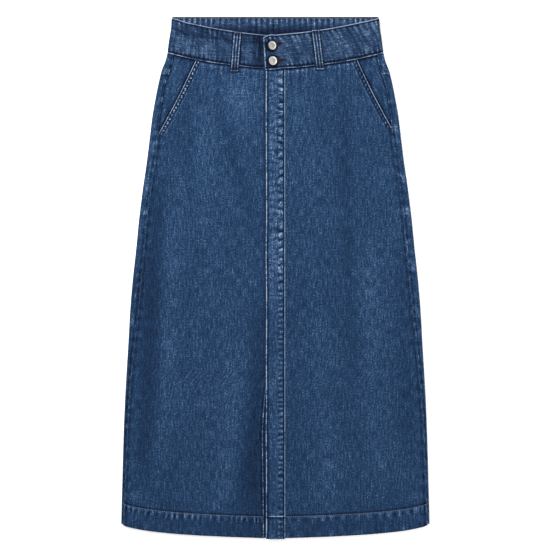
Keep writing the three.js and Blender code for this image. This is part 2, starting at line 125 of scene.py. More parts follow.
FRONT_LEVEL = {
    "y": [-430, -390, -340, 0, 170, 240, 300, 345, 372],
    "z": [5.3, 5.2, 4.2, 4, 4.1, 4.9, 5.1, 6.5, 6.8],
}
SLIT_EDGE = {"y": [-181, -215, -255, -340, -430], "x": [-15, -18.3, -20.4, -19.6, -18.6]}
# The soft folds that the solids have
FOLDS = [
    dict(start=(-27, -60), end=(-37, -372), width=15, rise=-1.05),
    dict(start=(-62, -120), end=(-78, -380), width=24, rise=0.8),
    dict(start=(-192, 150), end=(-222, -330), width=13, rise=-0.95),
    dict(start=(-168, 90), end=(-186, -300), width=17, rise=0.7),
    dict(start=(-145, 300), end=(-137, 110), width=9, rise=-0.5),
    dict(start=(-99, 300), end=(-27, 60), width=10, rise=-0.6),
    dict(start=(-58, 322), end=(-52, 250), width=16, rise=0.7),
    dict(start=(66, 322), end=(78, 236), width=9, rise=-0.6),
    dict(start=(115, 300), end=(124, -120), width=12, rise=-0.7),
    dict(start=(150, 40), end=(168, -330), width=20, rise=0.7),
    dict(start=(204, 60), end=(222, -300), width=12, rise=-0.6),
    dict(start=(74, -60), end=(86, -370), width=24, rise=0.6),
]
FOLD_END = 45
# Paler and darker places of the wash, with painted light and shade among them, as centre, half sizes and
# strength
WASH_AND_PAINTED_LIGHT = [
    dict(at=(-62, 305), size=(32, 42), tone=0.24),
    dict(at=(-100, 240), size=(60, 100), tone=0.16),
    dict(at=(60, 200), size=(60, 150), tone=0.1),
    dict(at=(140, 60), size=(50, 160), tone=0.08),
    # Painted shade in the fold's trough where the cloth dips beside the slit
    dict(at=(-40, -330), size=(26, 120), tone=-0.55),
    # Painted shade along the fold's trough at the wearer's right side
    dict(at=(-206, -60), size=(16, 200), tone=-0.3),
    # Painted light on the wearer's left side, against the shading there
    dict(at=(200, 20), size=(34, 190), tone=0.14),
    # Darker towards the hem
    dict(at=(0, -420), size=(300, 260), tone=-0.16),
    dict(at=(-90, -200), size=(40, 150), tone=0.06),
]

POCKETS = {
    "right": dict(top_x=130.8, bottom_y=236, bulge=1.6, roping=3.2, paler=0.5),
    "left": dict(top_x=134.6, bottom_y=247, bulge=1.6, roping=2.4, paler=-0.3),
}
FRONT_LOOPS = {
    "belt_loop_front_right": dict(top_x=-62.1, bottom_x=-67.2, top_y=403.6, bottom_y=339.6),
    "belt_loop_front_left": dict(top_x=65.8, bottom_x=74, top_y=407.2, bottom_y=343),
}
BACK_LOOPS = {"belt_loop_back_right": -104, "belt_loop_back_centre": 0, "belt_loop_back_left": 104}
BUTTONS = {
    "button_upper": dict(x=-8.1, y=381.2, hole_end=(12, 386.2), tilt=33),
    "button_lower": dict(x=-6.4, y=356.2, hole_end=(17.2, 358.9), tilt=25),
}
BUTTON_FACE_RADIUS = 4.9
BUTTON_SIDE_RADIUS = 7.22


# Small tools for numbers

def through(table, at, value):
    """A smooth function through one column of a table against another."""
    order = np.argsort(table[at])
    x = np.array(table[at], float)[order]
    v = np.array(table[value], float)[order]
    slope = np.empty(len(x))
    slope[1:-1] = (v[2:] - v[:-2]) / (x[2:] - x[:-2])
    slope[0] = (v[1] - v[0]) / (x[1] - x[0])
    slope[-1] = (v[-1] - v[-2]) / (x[-1] - x[-2])

    def curve(at_x):
        p = np.clip(at_x, x[0], x[-1])
        i = np.clip(np.searchsorted(x, p, side="right") - 1, 0, len(x) - 2)
        span = x[i + 1] - x[i]
        t = (p - x[i]) / span
        return ((2 * t**3 - 3 * t**2 + 1) * v[i] + (t**3 - 2 * t**2 + t) * slope[i] * span
                + (3 * t**2 - 2 * t**3) * v[i + 1] + (t**3 - t**2) * slope[i + 1] * span)

    return curve


def ease(x, low, high):
    t = np.clip((np.asarray(x, float) - low) / (high - low), 0, 1)
    return t * t * (3 - 2 * t)


def lerp(a, b, t):
    return a + (b - a) * t


def bell(d, width):
    return np.exp(-((d / width) ** 2))


def lines(d, *rows):
    """Soft lines beside an edge: each has a strength, a distance from the edge and a width."""
    return sum(strength * bell(d - at, width) for strength, at, width in rows)


def wobble(s, step, seed):
    """A smooth random function of one number, from -1 to 1, that changes over about one step."""
    values = np.random.RandomState(seed).uniform(-1, 1, 512)
    p = np.asarray(s, float) / step + 137.3
    i = np.floor(p).astype(int)
    t = ease(p - i, 0, 1)
    return lerp(values[i % 512], values[(i + 1) % 512], t)


def clouds(x, y, cell_x, cell_y, seed):
    """A smooth random function of the place, from -1 to 1, with cells of the given size."""
    values = np.random.RandomState(seed).uniform(-1, 1, (96, 96))
    px = x / cell_x + 48.7
    py = y / cell_y + 48.2
    i = np.floor(px).astype(int)
    j = np.floor(py).astype(int)
    tx = ease(px - i, 0, 1)
    ty = ease(py - j, 0, 1)
    at = lambda a, b: values[a % 96, b % 96]
    return lerp(lerp(at(i, j), at(i + 1, j), tx), lerp(at(i, j + 1), at(i + 1, j + 1), tx), ty)


half_width = through(SIDES, "y", "half")
seam_inset = through(SIDE_SEAM, "y", "inset")
hem_edge = through(HEM_EDGE, "x", "y")
front_top = through(BAND_FRONT, "x", "top_y")
front_seam = through(BAND_FRONT, "x", "seam_y")
back_seam = through(BAND_BACK, "x", "seam_y")
slit_edge_x = through(SLIT_EDGE, "y", "x")
front_level = through(FRONT_LEVEL, "y", "z")


def seam_x(y):
    return half_width(y) - seam_inset(y)


def yoke_y(x):
    return YOKE_SIDE_Y - YOKE_CENTRE_DROP * (1 - np.abs(x) / half_width(YOKE_SIDE_Y))


def back_underside(y):
    return YOKE_LIFT * ease(y, 305, 360)


def fold_rise(x, y, start, end, width, rise):
    run = np.subtract(end, start)
    length = np.hypot(*run)
    along = ((x - start[0]) * run[0] + (y - start[1]) * run[1]) / length
    across = ((x - start[0]) * run[1] - (y - start[1]) * run[0]) / length
    ends = ease(along, -FOLD_END, FOLD_END) * (1 - ease(along, length - FOLD_END, length + FOLD_END))
    return rise * bell(across, width) * ends


def folds(x, y):
    return sum(fold_rise(x, y, **fold) for fold in FOLDS)


def ripples(x, y):
    """The slight unevenness of washed cloth that lies loose, gone where it is sewn to the band."""
    loose = 1 - ease(y, 270, 340)
    return loose * (0.28 * clouds(x, y, 26, 150, 3) + 0.14 * clouds(x, y, 11, 60, 4))


def wash_and_painted_light_tone(x, y, at, size, tone):
    return tone * bell(x - at[0], size[0]) * bell(y - at[1], size[1])


def wash_and_painted_light(x, y):
    return sum(wash_and_painted_light_tone(x, y, **place) for place in WASH_AND_PAINTED_LIGHT)


def front_z(x, y):
    inner = ease(half_width(y) - np.abs(x), 4, 18)
    return front_level(y) + SIDE_PUFF * (1 - inner) + (folds(x, y) + ripples(x, y)) * inner


def band_z(x, left):
    sides = BAND_SIDE_RISE * ease(np.abs(x), 30, 62)
    over = 1 - ease(x, OVERLAP_HIGH_X, OVERLAP_LOW_X) if left else 0
    return lerp(BAND_FRONT_Z + sides, BAND_OVER_Z, over)


def right_dip(x):
    """How much lower the wearer's right half of the front lies than the left."""
    return 1.6 * (1 - ease(np.abs(x), 140, 165))


def overlap_hang(x):
    return 2.6 * (1 - ease(x, OVERLAP_BOTTOM_X, 14))


def pocket_line(pocket):
    top_y = front_seam(pocket["top_x"])
    bottom_x = seam_x(pocket["bottom_y"])

    def line(y):
        t = (top_y - y) / (top_y - pocket["bottom_y"])
        return lerp(pocket["top_x"], bottom_x, t) - pocket["bulge"] * np.sin(np.pi * t)

    return line


def slit(y):
    """0 along the open slit, 1 above it."""
    return ease(y, SLIT_TOP_Y - SLIT_EASE, SLIT_TOP_Y + SLIT_EASE)


def layers(from_hem):
    """The panels' thickness, with the hem turned up."""
    return CLOTH + (HEM_CLOTH - CLOTH) * (1 - ease(from_hem, HEM_DEPTH, HEM_DEPTH + 1.5))


# Materials

class Shader:
    """A new material and the tools that build it."""

    def __init__(self, name):
        self.material = bpy.data.materials.new(name)
        self.material.use_nodes = True
        self.tree = self.material.node_tree
        self.tree.nodes.clear()

    def node(self, kind, **settings):
        made = self.tree.nodes.new(kind)
        for key, value in settings.items():
            if key in made.inputs:
                made.inputs[key].default_value = value
            else:
                setattr(made, key, value)
        return made

    def link(self, source, target):
        self.tree.links.new(source, target)

    def calc(self, operation, *values):
        made = self.node("ShaderNodeMath", operation=operation)
        for socket, value in zip(made.inputs, values):
            if hasattr(value, "is_output"):
                self.link(value, socket)
            else:
                socket.default_value = value
        return made.outputs[0]

    def noise(self, place, **settings):
        made = self.node("ShaderNodeTexNoise", **settings)
        self.link(place, made.inputs["Vector"])
        return made.outputs[0]

    def ramp(self, factor, *stops):
        made = self.node("ShaderNodeValToRGB")
        elements = made.color_ramp.elements
        for index in (0, -1):
            elements[index].position = stops[index][0]
            elements[index].color = (*stops[index][1], 1)
        for position, colour in stops[1:-1]:
            elements.new(position).color = (*colour, 1)
        self.link(factor, made.inputs[0])
        return made.outputs[0]

    def bump(self, height, strength, distance):
        made = self.node("ShaderNodeBump", Strength=strength, Distance=distance)
        self.link(height, made.inputs["Height"])
        return made.outputs[0]

    def finish(self, constants, **links):
        """The surface, with its constant sockets and the colour and bump that are linked to it."""
        surface = self.node("ShaderNodeBsdfPrincipled")
        for socket, value in constants.items():
            surface.inputs[socket].default_value = value
        for socket, source in links.items():
            self.link(source, surface.inputs[socket.replace("_", " ")])
        self.link(surface.outputs[0], self.node("ShaderNodeOutputMaterial").inputs[0])
        return self.material


# The cloth's grain: cells a metre across and along it, and its shares in colour and in relief
GRAIN = {
    "streaks": dict(across=390, along=60, detail=2.0, roughness=0.6, in_colour=3.0, in_relief=0.7),
    "mottle": dict(across=500, along=400, detail=1.0, roughness=0.6, in_colour=3.4, in_relief=1.6),
    "slubs": dict(across=60, along=640, detail=2.0, roughness=0.5, in_colour=0.8, in_relief=0),
    "patches": dict(across=40, along=12, detail=2.0, roughness=0.5, in_colour=0.42, in_relief=0),
}
TWILL_PITCH = 0.0011
TWILL_IN_COLOUR = 0.07
TWILL_IN_RELIEF = 0.35


def denim(name, dark_dye_and_shade, mid, pale, bare):
    """Washed indigo twill. Colours are linear: dark dye and painted shade, cloth, rubbed cloth and bare worn
    edge.
    """
    shader = Shader(name)
    calc = shader.calc
    uv = shader.node("ShaderNodeUVMap", uv_map="cloth").outputs[0]
    tone = shader.node("ShaderNodeAttribute", attribute_name="tone").outputs["Fac"]
    split = shader.node("ShaderNodeSeparateXYZ")
    shader.link(uv, split.inputs[0])
    diagonal = calc("ADD", split.outputs[0], split.outputs[1])
    twill = calc("SINE", calc("MULTIPLY", diagonal, 2 * math.pi / TWILL_PITCH))
    grain = calc("MULTIPLY", twill, TWILL_IN_COLOUR)
    height = calc("MULTIPLY", twill, TWILL_IN_RELIEF)
    textures = {}
    for key, row in GRAIN.items():
        scale = shader.node("ShaderNodeMapping", Scale=(row["across"], row["along"], 1))
        shader.link(uv, scale.inputs[0])
        texture = shader.noise(scale.outputs[0], Scale=1.0, Detail=row["detail"], Roughness=row["roughness"])
        grain = calc("ADD", grain, calc("MULTIPLY", calc("SUBTRACT", texture, 0.5), row["in_colour"]))
        height = calc("ADD", height, calc("MULTIPLY", texture, row["in_relief"]))
        textures[key] = texture
    broken = calc("ADD", 0.55, calc("MULTIPLY", textures["mottle"], 0.9))
    level = calc("ADD", calc("MULTIPLY", tone, broken), grain)
    place = calc("ADD", 0.5, calc("MULTIPLY", level, 0.25))
    faded = [p + 0.34 * (b - p) for p, b in zip(pale, bare)]
    return shader.finish(
        {"Roughness": 0.9, "Specular IOR Level": 0.08, "Sheen Weight": 0.03, "Sheen Roughness": 0.5},
        Base_Color=shader.ramp(place, (0.08, dark_dye_and_shade), (0.5, mid), (0.72, pale), (0.87, faded), (1, bare)),
        Normal=shader.bump(height, 0.55, 0.00045))


def thread(name, dark, light):
    """Spun sewing thread: paler and darker along its length, with a fine twist."""
    shader = Shader(name)
    place = shader.node("ShaderNodeTexCoord").outputs["Object"]
    twist = shader.node("ShaderNodeTexWave", Scale=1900.0, Distortion=2.0)
    shader.link(place, twist.inputs["Vector"])
    return shader.finish(
        {"Roughness": 0.9, "Specular IOR Level": 0.1},
        Base_Color=shader.ramp(shader.noise(place, Scale=420.0, Detail=3.0), (0.3, dark), (0.72, light)),
        Normal=shader.bump(twist.outputs["Fac"], 0.4, 0.0001))


def satin_metal(name, dull, bright):
    """Pale plated metal with a soft brushed face and small marks."""
    shader = Shader(name)
    marks = shader.noise(shader.node("ShaderNodeTexCoord").outputs["Object"], Scale=900.0, Detail=4.0)
    return shader.finish(
        {"Metallic": 0.8},
        Base_Color=shader.ramp(marks, (0.35, dull), (0.65, bright)),
        Roughness=shader.calc("ADD", 0.28, shader.calc("MULTIPLY", marks, 0.2)),
        Normal=shader.bump(marks, 0.25, 0.00012))


DENIM = denim("washed_denim", (0.0008, 0.003, 0.012), (0.0078, 0.0262, 0.067), (0.030, 0.067, 0.138),
              (0.22, 0.28, 0.37))
BAND_DENIM = denim("washed_denim_band", (0.0008, 0.003, 0.012), (0.0095, 0.026, 0.064),
                   (0.037, 0.072, 0.136), (0.22, 0.275, 0.36))
TONAL_THREAD = thread("tonal_thread", (0.05, 0.06, 0.08), (0.23, 0.25, 0.29))
NAVY_THREAD = thread("navy_thread", (0.0025, 0.007, 0.020), (0.016, 0.026, 0.048))
RUST_THREAD = thread("rust_thread", (0.010, 0.006, 0.007), (0.042, 0.022, 0.018))
METAL = satin_metal("button_rim_metal", (0.46, 0.45, 0.42), (0.72, 0.71, 0.68))
DULL_METAL = satin_metal("button_face_metal", (0.3, 0.29, 0.26), (0.46, 0.445, 0.405))
# A dark copy of the metal, with painted shade and a painted dark reflection for the buttons' side walls
SIDE_METAL_PAINTED_SHADE = satin_metal("button_side_metal_painted_shade", (0.12, 0.118, 0.11), (0.3, 0.295, 0.28))


# Meshes

def mesh_object(name, vertices, quads, material):
    mesh = bpy.data.meshes.new(name)
    mesh.vertices.add(len(vertices))
    mesh.vertices.foreach_set("co", (np.asarray(vertices, float) * MM).ravel())
    quads = np.asarray(quads, np.int32)
    mesh.loops.add(quads.size)
    mesh.loops.foreach_set("vertex_index", quads.ravel())
    mesh.polygons.add(len(quads))
    mesh.polygons.foreach_set("loop_start", np.arange(0, quads.size, 4, dtype=np.int32))
    mesh.update(calc_edges=True)
    mesh.shade_smooth()
    mesh.materials.append(material)
    obj = bpy.data.objects.new(name, mesh)
    bpy.context.scene.collection.objects.link(obj)
    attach(obj, ROOT)
    return obj


def grid_quads(columns, rows, start=0, flip=False):
    i, j = np.meshgrid(np.arange(columns - 1), np.arange(rows - 1), indexing="ij")
    a = start + i * rows + j
    quads = np.stack([a, a + rows, a + rows + 1, a + 1], -1).reshape(-1, 4)
    return quads[:, ::-1] if flip else quads


def rim_quads(columns, rows):
    """The quads that close two like grids along their border."""
    border = [i * rows for i in range(columns)]
    border += [(columns - 1) * rows + j for j in range(1, rows)]
    border += [i * rows + rows - 1 for i in range(columns - 2, -1, -1)]
    border += list(range(rows - 2, 0, -1))
    a = np.array(border)
    b = np.roll(a, -1)
    layer = columns * rows
    return np.stack([b, a, a + layer, b + layer], -1)


def normals_of(points, up):
    """Unit normals of a grid of points, turned to the side that up points to at its first column."""
    normal = np.cross(np.gradient(points, axis=0), np.gradient(points, axis=1))
    normal /= np.maximum(np.linalg.norm(normal, axis=-1, keepdims=True), 1e-9)
    return normal if (normal[0].mean(0) @ np.array(up)) > 0 else -normal


def outward(vertices, quads):
    """The quads, turned so that they face out of the body that they close."""
    a, b, c, d = (vertices[quads[:, k]] for k in range(4))
    volume = (np.einsum("ij,ij->i", a, np.cross(b, c)) + np.einsum("ij,ij->i", a, np.cross(c, d))).sum()
    return quads[:, ::-1] if volume < 0 else quads


def grain_of(points, offset):
    """Cloth coordinates of a grid: the distance across its columns, and the place along the grain."""
    step = np.linalg.norm(np.diff(points, axis=0), axis=-1)
    across = np.concatenate([np.zeros((1, points.shape[1])), np.cumsum(step, axis=0)])
    return np.stack([across + offset, points[..., 1]], -1)


def cloth(node, outer, inner, tone, inner_tone, grain, band=False):
    """Cloth in place of a node: a closed shell of two grids of points."""
    columns, rows = outer.shape[:2]
    vertices = np.concatenate([outer.reshape(-1, 3), inner.reshape(-1, 3)])
    quads = outward(vertices, np.concatenate([
        grid_quads(columns, rows),
        grid_quads(columns, rows, columns * rows, flip=True),
        rim_quads(columns, rows),
    ]))
    material, slot = (BAND_DENIM, "waistband_denim") if band else (DENIM, "denim")
    obj = mesh_object(f"denim_{node}", vertices, quads, material)
    tones = np.concatenate([tone.ravel(), (inner_tone + 0 * tone).ravel()])
    obj.data.attributes.new("tone", "FLOAT", "POINT").data.foreach_set("value", tones.astype(np.float32))
    coordinates = np.concatenate([grain.reshape(-1, 2), grain.reshape(-1, 2) + 0.37 / MM]) * MM
    layer = obj.data.uv_layers.new(name="cloth")
    layer.data.foreach_set("uv", coordinates[quads.ravel()].astype(np.float32).ravel())
    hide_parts(node)
    across, along = (np.linalg.norm(np.diff(outer, axis=k), axis=-1).sum(k).max() * MM for k in (0, 1))
    float(across)
    return obj


def spacing(step, reach):
    """Distances from an edge: close together near it, then a step apart."""
    near = [0, 0.35, 0.8, 1.4, 2.1, 2.9, 3.8, 4.8, 6]
    return near + list(np.arange(near[-1] + step, reach, step)) + [reach]


EDGE_LANES = spacing(1.5, 15)
HEM_LANES = spacing(2.1, 44)
WAIST_LANES = spacing(1.8, 22)
YOKE_LANES = spacing(1.6, 14)
YOKE_TOP_LANES = spacing(2.2, 10)
BAND_LANES = spacing(1.4, 16)


class Lanes:
    """Columns or rows between two edges: at fixed distances near each edge, and stretched between."""

    def __init__(self, start, end, middle):
        inside = np.linspace(0, 1, middle + 2)[1:-1]
        near, far = start[-1], end[-1]
        self.share = np.concatenate([np.zeros(len(start)), inside, np.ones(len(end))])
        self.offset = np.concatenate([start, near * (1 - inside) - far * inside, -np.array(end[::-1])])

    def between(self, a, b, axis):
        shape = [1, 1]
        shape[axis] = -1
        share = self.share.reshape(shape)
        offset = self.offset.reshape(shape)
        return a + (b - a) * share + np.sign(b - a) * offset


def lane_at(offsets, distance, total=None):
    """The fractional index of the lane at a distance from the first edge or, given a total, the last."""
    index = float(np.interp(distance, offsets, np.arange(len(offsets))))
    return index if total is None else total - 1 - index


def pucker(s, pitch, seed, d=0, reach=FAR, lean=0.0):
    """Puckers along s, from -1 to 1, of uneven size and spacing, that die away over a reach of d."""
    phase = (s + lean * d) / pitch + 0.32 * wobble(s, 2.4 * pitch, seed)
    strength = 0.62 + 0.38 * wobble(s, 1.7 * pitch, seed + 1)
    reach = reach * (1 + 0.45 * wobble(s, 1.3 * pitch, seed + 2))
    return np.cos(2 * np.pi * phase) * strength * np.exp(-np.maximum(d, 0) / reach)


def roping(s, pitch, seed):
    """Even ridges along a turned and sewn edge."""
    wave = np.cos(2 * np.pi * (s / pitch + 0.22 * wobble(s, 3 * pitch, seed)))
    return wave * (0.85 + 0.15 * wobble(s, pitch, seed))


def crumple(x, y, pitch, drift, sharp, seed):
    """Broken cross creases beside a row of sewing: the waves, and their valleys, which take painted shade.
    """
    phase = y / pitch + drift * clouds(x, y, 9, 0.9 * pitch, seed) + 0.3 * wobble(y, 2 * pitch, seed + 1)
    wave = np.cos(2 * np.pi * phase)
    strength = 0.66 + 0.34 * clouds(x, y, 8, 1.4 * pitch, seed + 2)
    return wave * strength, bell(1 + wave, sharp) * strength


def worn(s, seed):
    """How much of a turned edge is rubbed pale along its length."""
    return 0.72 + 0.3 * wobble(s, 2.6, seed) + 0.22 * wobble(s, 17, seed + 1)


def painted_loop_shadow(x, y):
    """The painted shadow that the cloth shows along the foot and the sides of each front belt loop."""
    dark = 0
    for loop in FRONT_LOOPS.values():
        share = (y - loop["bottom_y"]) / (loop["top_y"] - loop["bottom_y"])
        middle = lerp(loop["bottom_x"], loop["top_x"], np.clip(share, 0, 1))
        side = np.abs(x - middle) - LOOP_WIDTH / 2
        out = np.maximum(np.maximum(side, loop["bottom_y"] - y), y - loop["top_y"])
        dark = dark + bell(out - 0.6, 1.4)
    return dark


def rounded(d, radius):
    """How far a turned edge drops at distance d from it."""
    inside = np.clip(radius - d, 0, radius)
    return radius - np.sqrt(np.maximum(radius**2 - inside**2, 0))


def meet(across, edge, start):
    """Where each column, whose x depends on y, meets an edge, whose y depends on x."""
    y = np.zeros_like(start) + edge(0.0)
    for _ in range(6):
        y = edge(np.abs(across(y)))
    return y


def unit(vectors):
    return vectors / np.maximum(np.linalg.norm(vectors, axis=1, keepdims=True), 1e-9)


class Sewing:
    """Collects threads of one kind, so that they are made as one mesh."""

    def __init__(self):
        self.starts, self.ends, self.normals = [], [], []

    def add(self, starts, ends, normals):
        self.starts.append(starts)
        self.ends.append(ends)
        self.normals.append(normals)

    def row(self, points, normals, pitch=3.3, stitch=2.5):
        """A row of straight stitches along a line of surface points."""
        lengths = np.concatenate([[0], np.cumsum(np.linalg.norm(np.diff(points, axis=0), axis=1))])
        at = np.arange(0.4, lengths[-1] - stitch, pitch)
        pick = lambda values, s: np.stack([np.interp(s, lengths, values[:, k]) for k in range(3)], 1)
        self.add(pick(points, at), pick(points, at + stitch), pick(normals, at + stitch / 2))

    def lane(self, points, normals, place, axis, keep=slice(None), **spaced):
        """A row along a part of a grid's fractional column (axis 0) or row (axis 1)."""
        i = int(np.floor(place))
        t = place - i
        line = [g.take(i, axis) * (1 - t) + g.take(i + 1, axis) * t for g in (points, normals)]
        self.row(line[0][keep], line[1][keep], **spaced)

    def bar(self, centre, along, normal, length, width=2.2, pitch=0.42):
        """A bartack: short threads side by side across a line."""
        along = np.array(along, float) / np.linalg.norm(along)
        normal = np.array(normal, float)
        across = np.cross(normal, along)
        at = np.arange(-length / 2, length / 2 + 0.01, pitch)
        sway = 0.25 * np.cos(np.arange(len(at)) * 2.6)
        middle = np.array(centre, float) + along * at[:, None] + across * sway[:, None]
        self.add(middle - across * width / 2, middle + across * width / 2, np.tile(normal, (len(at), 1)))

    def on_band(self, inside, outside):
        """Threads that lie on the overlap, from points inside to points outside."""
        level = np.full((len(inside), 1), BAND_OVER_Z + 0.15)
        up = np.tile([0.0, 0, 1], (len(inside), 1))
        self.add(np.hstack([inside, level]), np.hstack([outside, level]), up)

    def build(self, name, material, radius=0.27, arch=0.3, sides=5):
        """Makes each thread as a tube from its start to its end, raised a little between them."""
        starts, ends, normals = (np.concatenate(rows) for rows in (self.starts, self.ends, self.normals))
        share = np.array([0, 0.22, 0.78, 1.0])
        height = np.array([-1.0, 0.8, 0.8, -1.0]) * arch
        side = unit(np.cross(unit(ends - starts), normals))
        centre = starts[:, None] + (ends - starts)[:, None] * share[:, None]
        centre = centre + normals[:, None] * height[:, None]
        turn = np.linspace(0, 2 * np.pi, sides, endpoint=False)
        ring = np.cos(turn)[:, None] * side[:, None] + np.sin(turn)[:, None] * normals[:, None]
        points = centre[:, :, None] + radius * ring[:, None]
        points[..., 2] = np.maximum(points[..., 2], 0.02)
        rings = len(share)
        base = (np.arange(len(starts)) * rings * sides)[:, None, None]
        r = np.arange(rings - 1)[None, :, None] * sides
        k = np.arange(sides)[None, None, :]
        a = base + r + k
        b = base + r + (k + 1) % sides
        quads = np.stack([a, b, b + sides, a + sides], -1).reshape(-1, 4)
        caps = base.reshape(-1, 1) + np.array([[3, 2, 1, 0]])
        tips = base.reshape(-1, 1) + (rings - 1) * sides + np.array([[0, 1, 2, 3]])
        mesh_object(name, points.reshape(-1, 3), np.concatenate([quads, caps, tips]), material)


TONAL = Sewing()
NAVY = Sewing()
RUST = Sewing()


# Front panels

def right_edge(y):
    return lerp(slit_edge_x(y), CENTRE_SEAM_X - GAP, slit(y))


def left_edge(y):
    return lerp(UNDER_PLACKET_X, CENTRE_SEAM_X, slit(y))


def front_panel(side, pocket, inner_edge, name):
    line = pocket_line(pocket)
    columns = Lanes(EDGE_LANES, EDGE_LANES, 46)
    rows = Lanes(HEM_LANES, WAIST_LANES, 292)

    def outer_edge(y):
        return side * (np.where(y > pocket["bottom_y"], line(y), seam_x(y)) - GAP)

    def across(y):
        return columns.between(inner_edge(y), outer_edge(y), 0)

    start = np.zeros((len(columns.share), 1))
    bottom = meet(across, hem_edge, start)
    top = meet(across, front_seam, start) - GAP
    y = rows.between(bottom, top, 1)
    x = across(y)
    from_inner = np.abs(x - inner_edge(y))
    from_outer = np.abs(x - outer_edge(y))
    from_hem = y - bottom
    from_top = top - y
    at_pocket = ease(y, pocket["bottom_y"] - 3, pocket["bottom_y"] + 3)
    below = 1 - at_pocket
    seed = 20 if side > 0 else 60

    z = front_z(x, y)
    # Painted shade in the troughs of the folds and ripples and painted light on their rises, with the wash's
    # paler and darker places
    tone = 0.38 * folds(x, y) + 0.9 * wash_and_painted_light(x, y) + 0.35 * ripples(x, y)
    # Roping of the hem between its fold and its stitch line, and painted shadow along the hem's bottom edge
    hem_rope = pucker(x, 7.1, seed) * bell(from_hem - 29.5, 4.5 + 1.5 * wobble(x, 9, seed + 1))
    hem_rope += 0.3 * pucker(x, 6.2, seed + 3) * bell(from_hem - 4, 4)
    z = z + 0.4 * hem_rope - 0.35 * bell(from_hem - HEM_DEPTH, 1.2)
    tone += 2.0 * hem_rope + lines(from_hem, (-1.3, HEM_DEPTH + 1.2, 1.1), (-1, 0, 1.3))
    tone += 0.9 * worn(x, seed + 2) * bell(from_hem - HEM_DEPTH + 2.2, 1.0)
    tone -= 0.1 * (1 - ease(from_hem, HEM_DEPTH - 4, HEM_DEPTH))
    # Puckers below the waistband, with painted shadow under its edge
    waist = pucker(x, 7.4, seed + 5, from_top, 12) + 0.5 * pucker(x, 15, seed + 6, from_top, 26)
    z = z + 0.5 * waist
    tone += 0.95 * waist * ease(from_top, 0, 3) + lines(from_top, (-2.8, 0, 1.9), (0.5, 4.5, 2.5))
    # Painted shadow along the front belt loops
    tone -= 2.2 * painted_loop_shadow(x, y)
    # Pocket mouth: a folded edge with two rows of sewing and roping between them, and painted shade beside
    # both rows
    uneven = 0.85 + 0.3 * wobble(y, 15, seed + 7) - 0.12 * side
    rope = roping(y + 0.9 * from_outer, 6.2, seed + 8) * bell(from_outer - 5.0, 2.7) * uneven
    z = z + at_pocket * (0.45 * rope + lines(from_outer, (-0.4, 2, 0.8), (-0.45, 7.6, 1.0)))
    stripes = lines(from_outer, (-3.2, 2.7, 0.9), (pocket["paler"], 5, 2.5), (-2.6, 8.4, 0.8),
                    (0.8, 10.2, 1.3))
    tone += at_pocket * (3.6 * worn(y, seed + 9) * bell(from_outer, 1.3) + pocket["roping"] * rope + stripes)
    # Side seam: uneven roping on the front's side of it, and painted shade beside it
    seam_rope = pucker(y, 19, seed + 11, from_outer, 4.5) + 0.5 * pucker(y, 7.5, seed + 13, from_outer, 3)
    z = z + below * 0.3 * seam_rope
    tone += below * (1.1 * np.minimum(seam_rope, 0.3) * ease(from_outer, 0, 2)
                     + 0.9 * worn(y, seed + 12) * bell(from_outer - 0.5, 1.0)
                     - 0.7 * bell(from_outer - 3.4, 2.2))
    # Slit edge, folded under and sewn, and the placket's shadow above it
    if side < 0:
        open_slit = 1 - slit(y)
        edge_rope = pucker(y, 8.5, seed + 17, from_inner, 5)
        z = z + open_slit * 0.25 * edge_rope
        tone += open_slit * ((0.7 + 1.3 * worn(y, 81)) * bell(from_inner - 0.6, 1.5) + 0.5 * edge_rope
                             - 1.3 * bell(from_inner - 3, 1.5))
        tone -= 1.4 * slit(y) * bell(from_inner - (CENTRE_SEAM_X - PLACKET_LEFT_X), 2.2)
    z = z - rounded(np.minimum(from_outer * (1 + below), from_hem), 0.6)
    outer = np.stack([x, y, z], -1)
    inner_z = np.minimum(z - layers(from_hem), front_z(x, y) - 0.8)
    inner = np.stack([x, y, inner_z], -1)
    cloth(name, outer, inner, tone, -0.2, grain_of(outer, seed * 31.7))

    normal = normals_of(outer, UP)
    TONAL.lane(outer, normal, lane_at(HEM_LANES, HEM_DEPTH - 0.9), 1)
    mouth = y[-1] > pocket["bottom_y"] + 1
    for distance in (2.0, 7.6):
        NAVY.lane(outer, normal, lane_at(EDGE_LANES, distance, len(x)), 0, mouth, pitch=3.1)
    bar_y = pocket["bottom_y"] - 6
    bar_x = side * (seam_x(bar_y) - 2.4)
    NAVY.bar((bar_x, bar_y, front_z(bar_x, bar_y) + 0.3), (side * -0.12, 1, 0), UP, 12)


# Placket

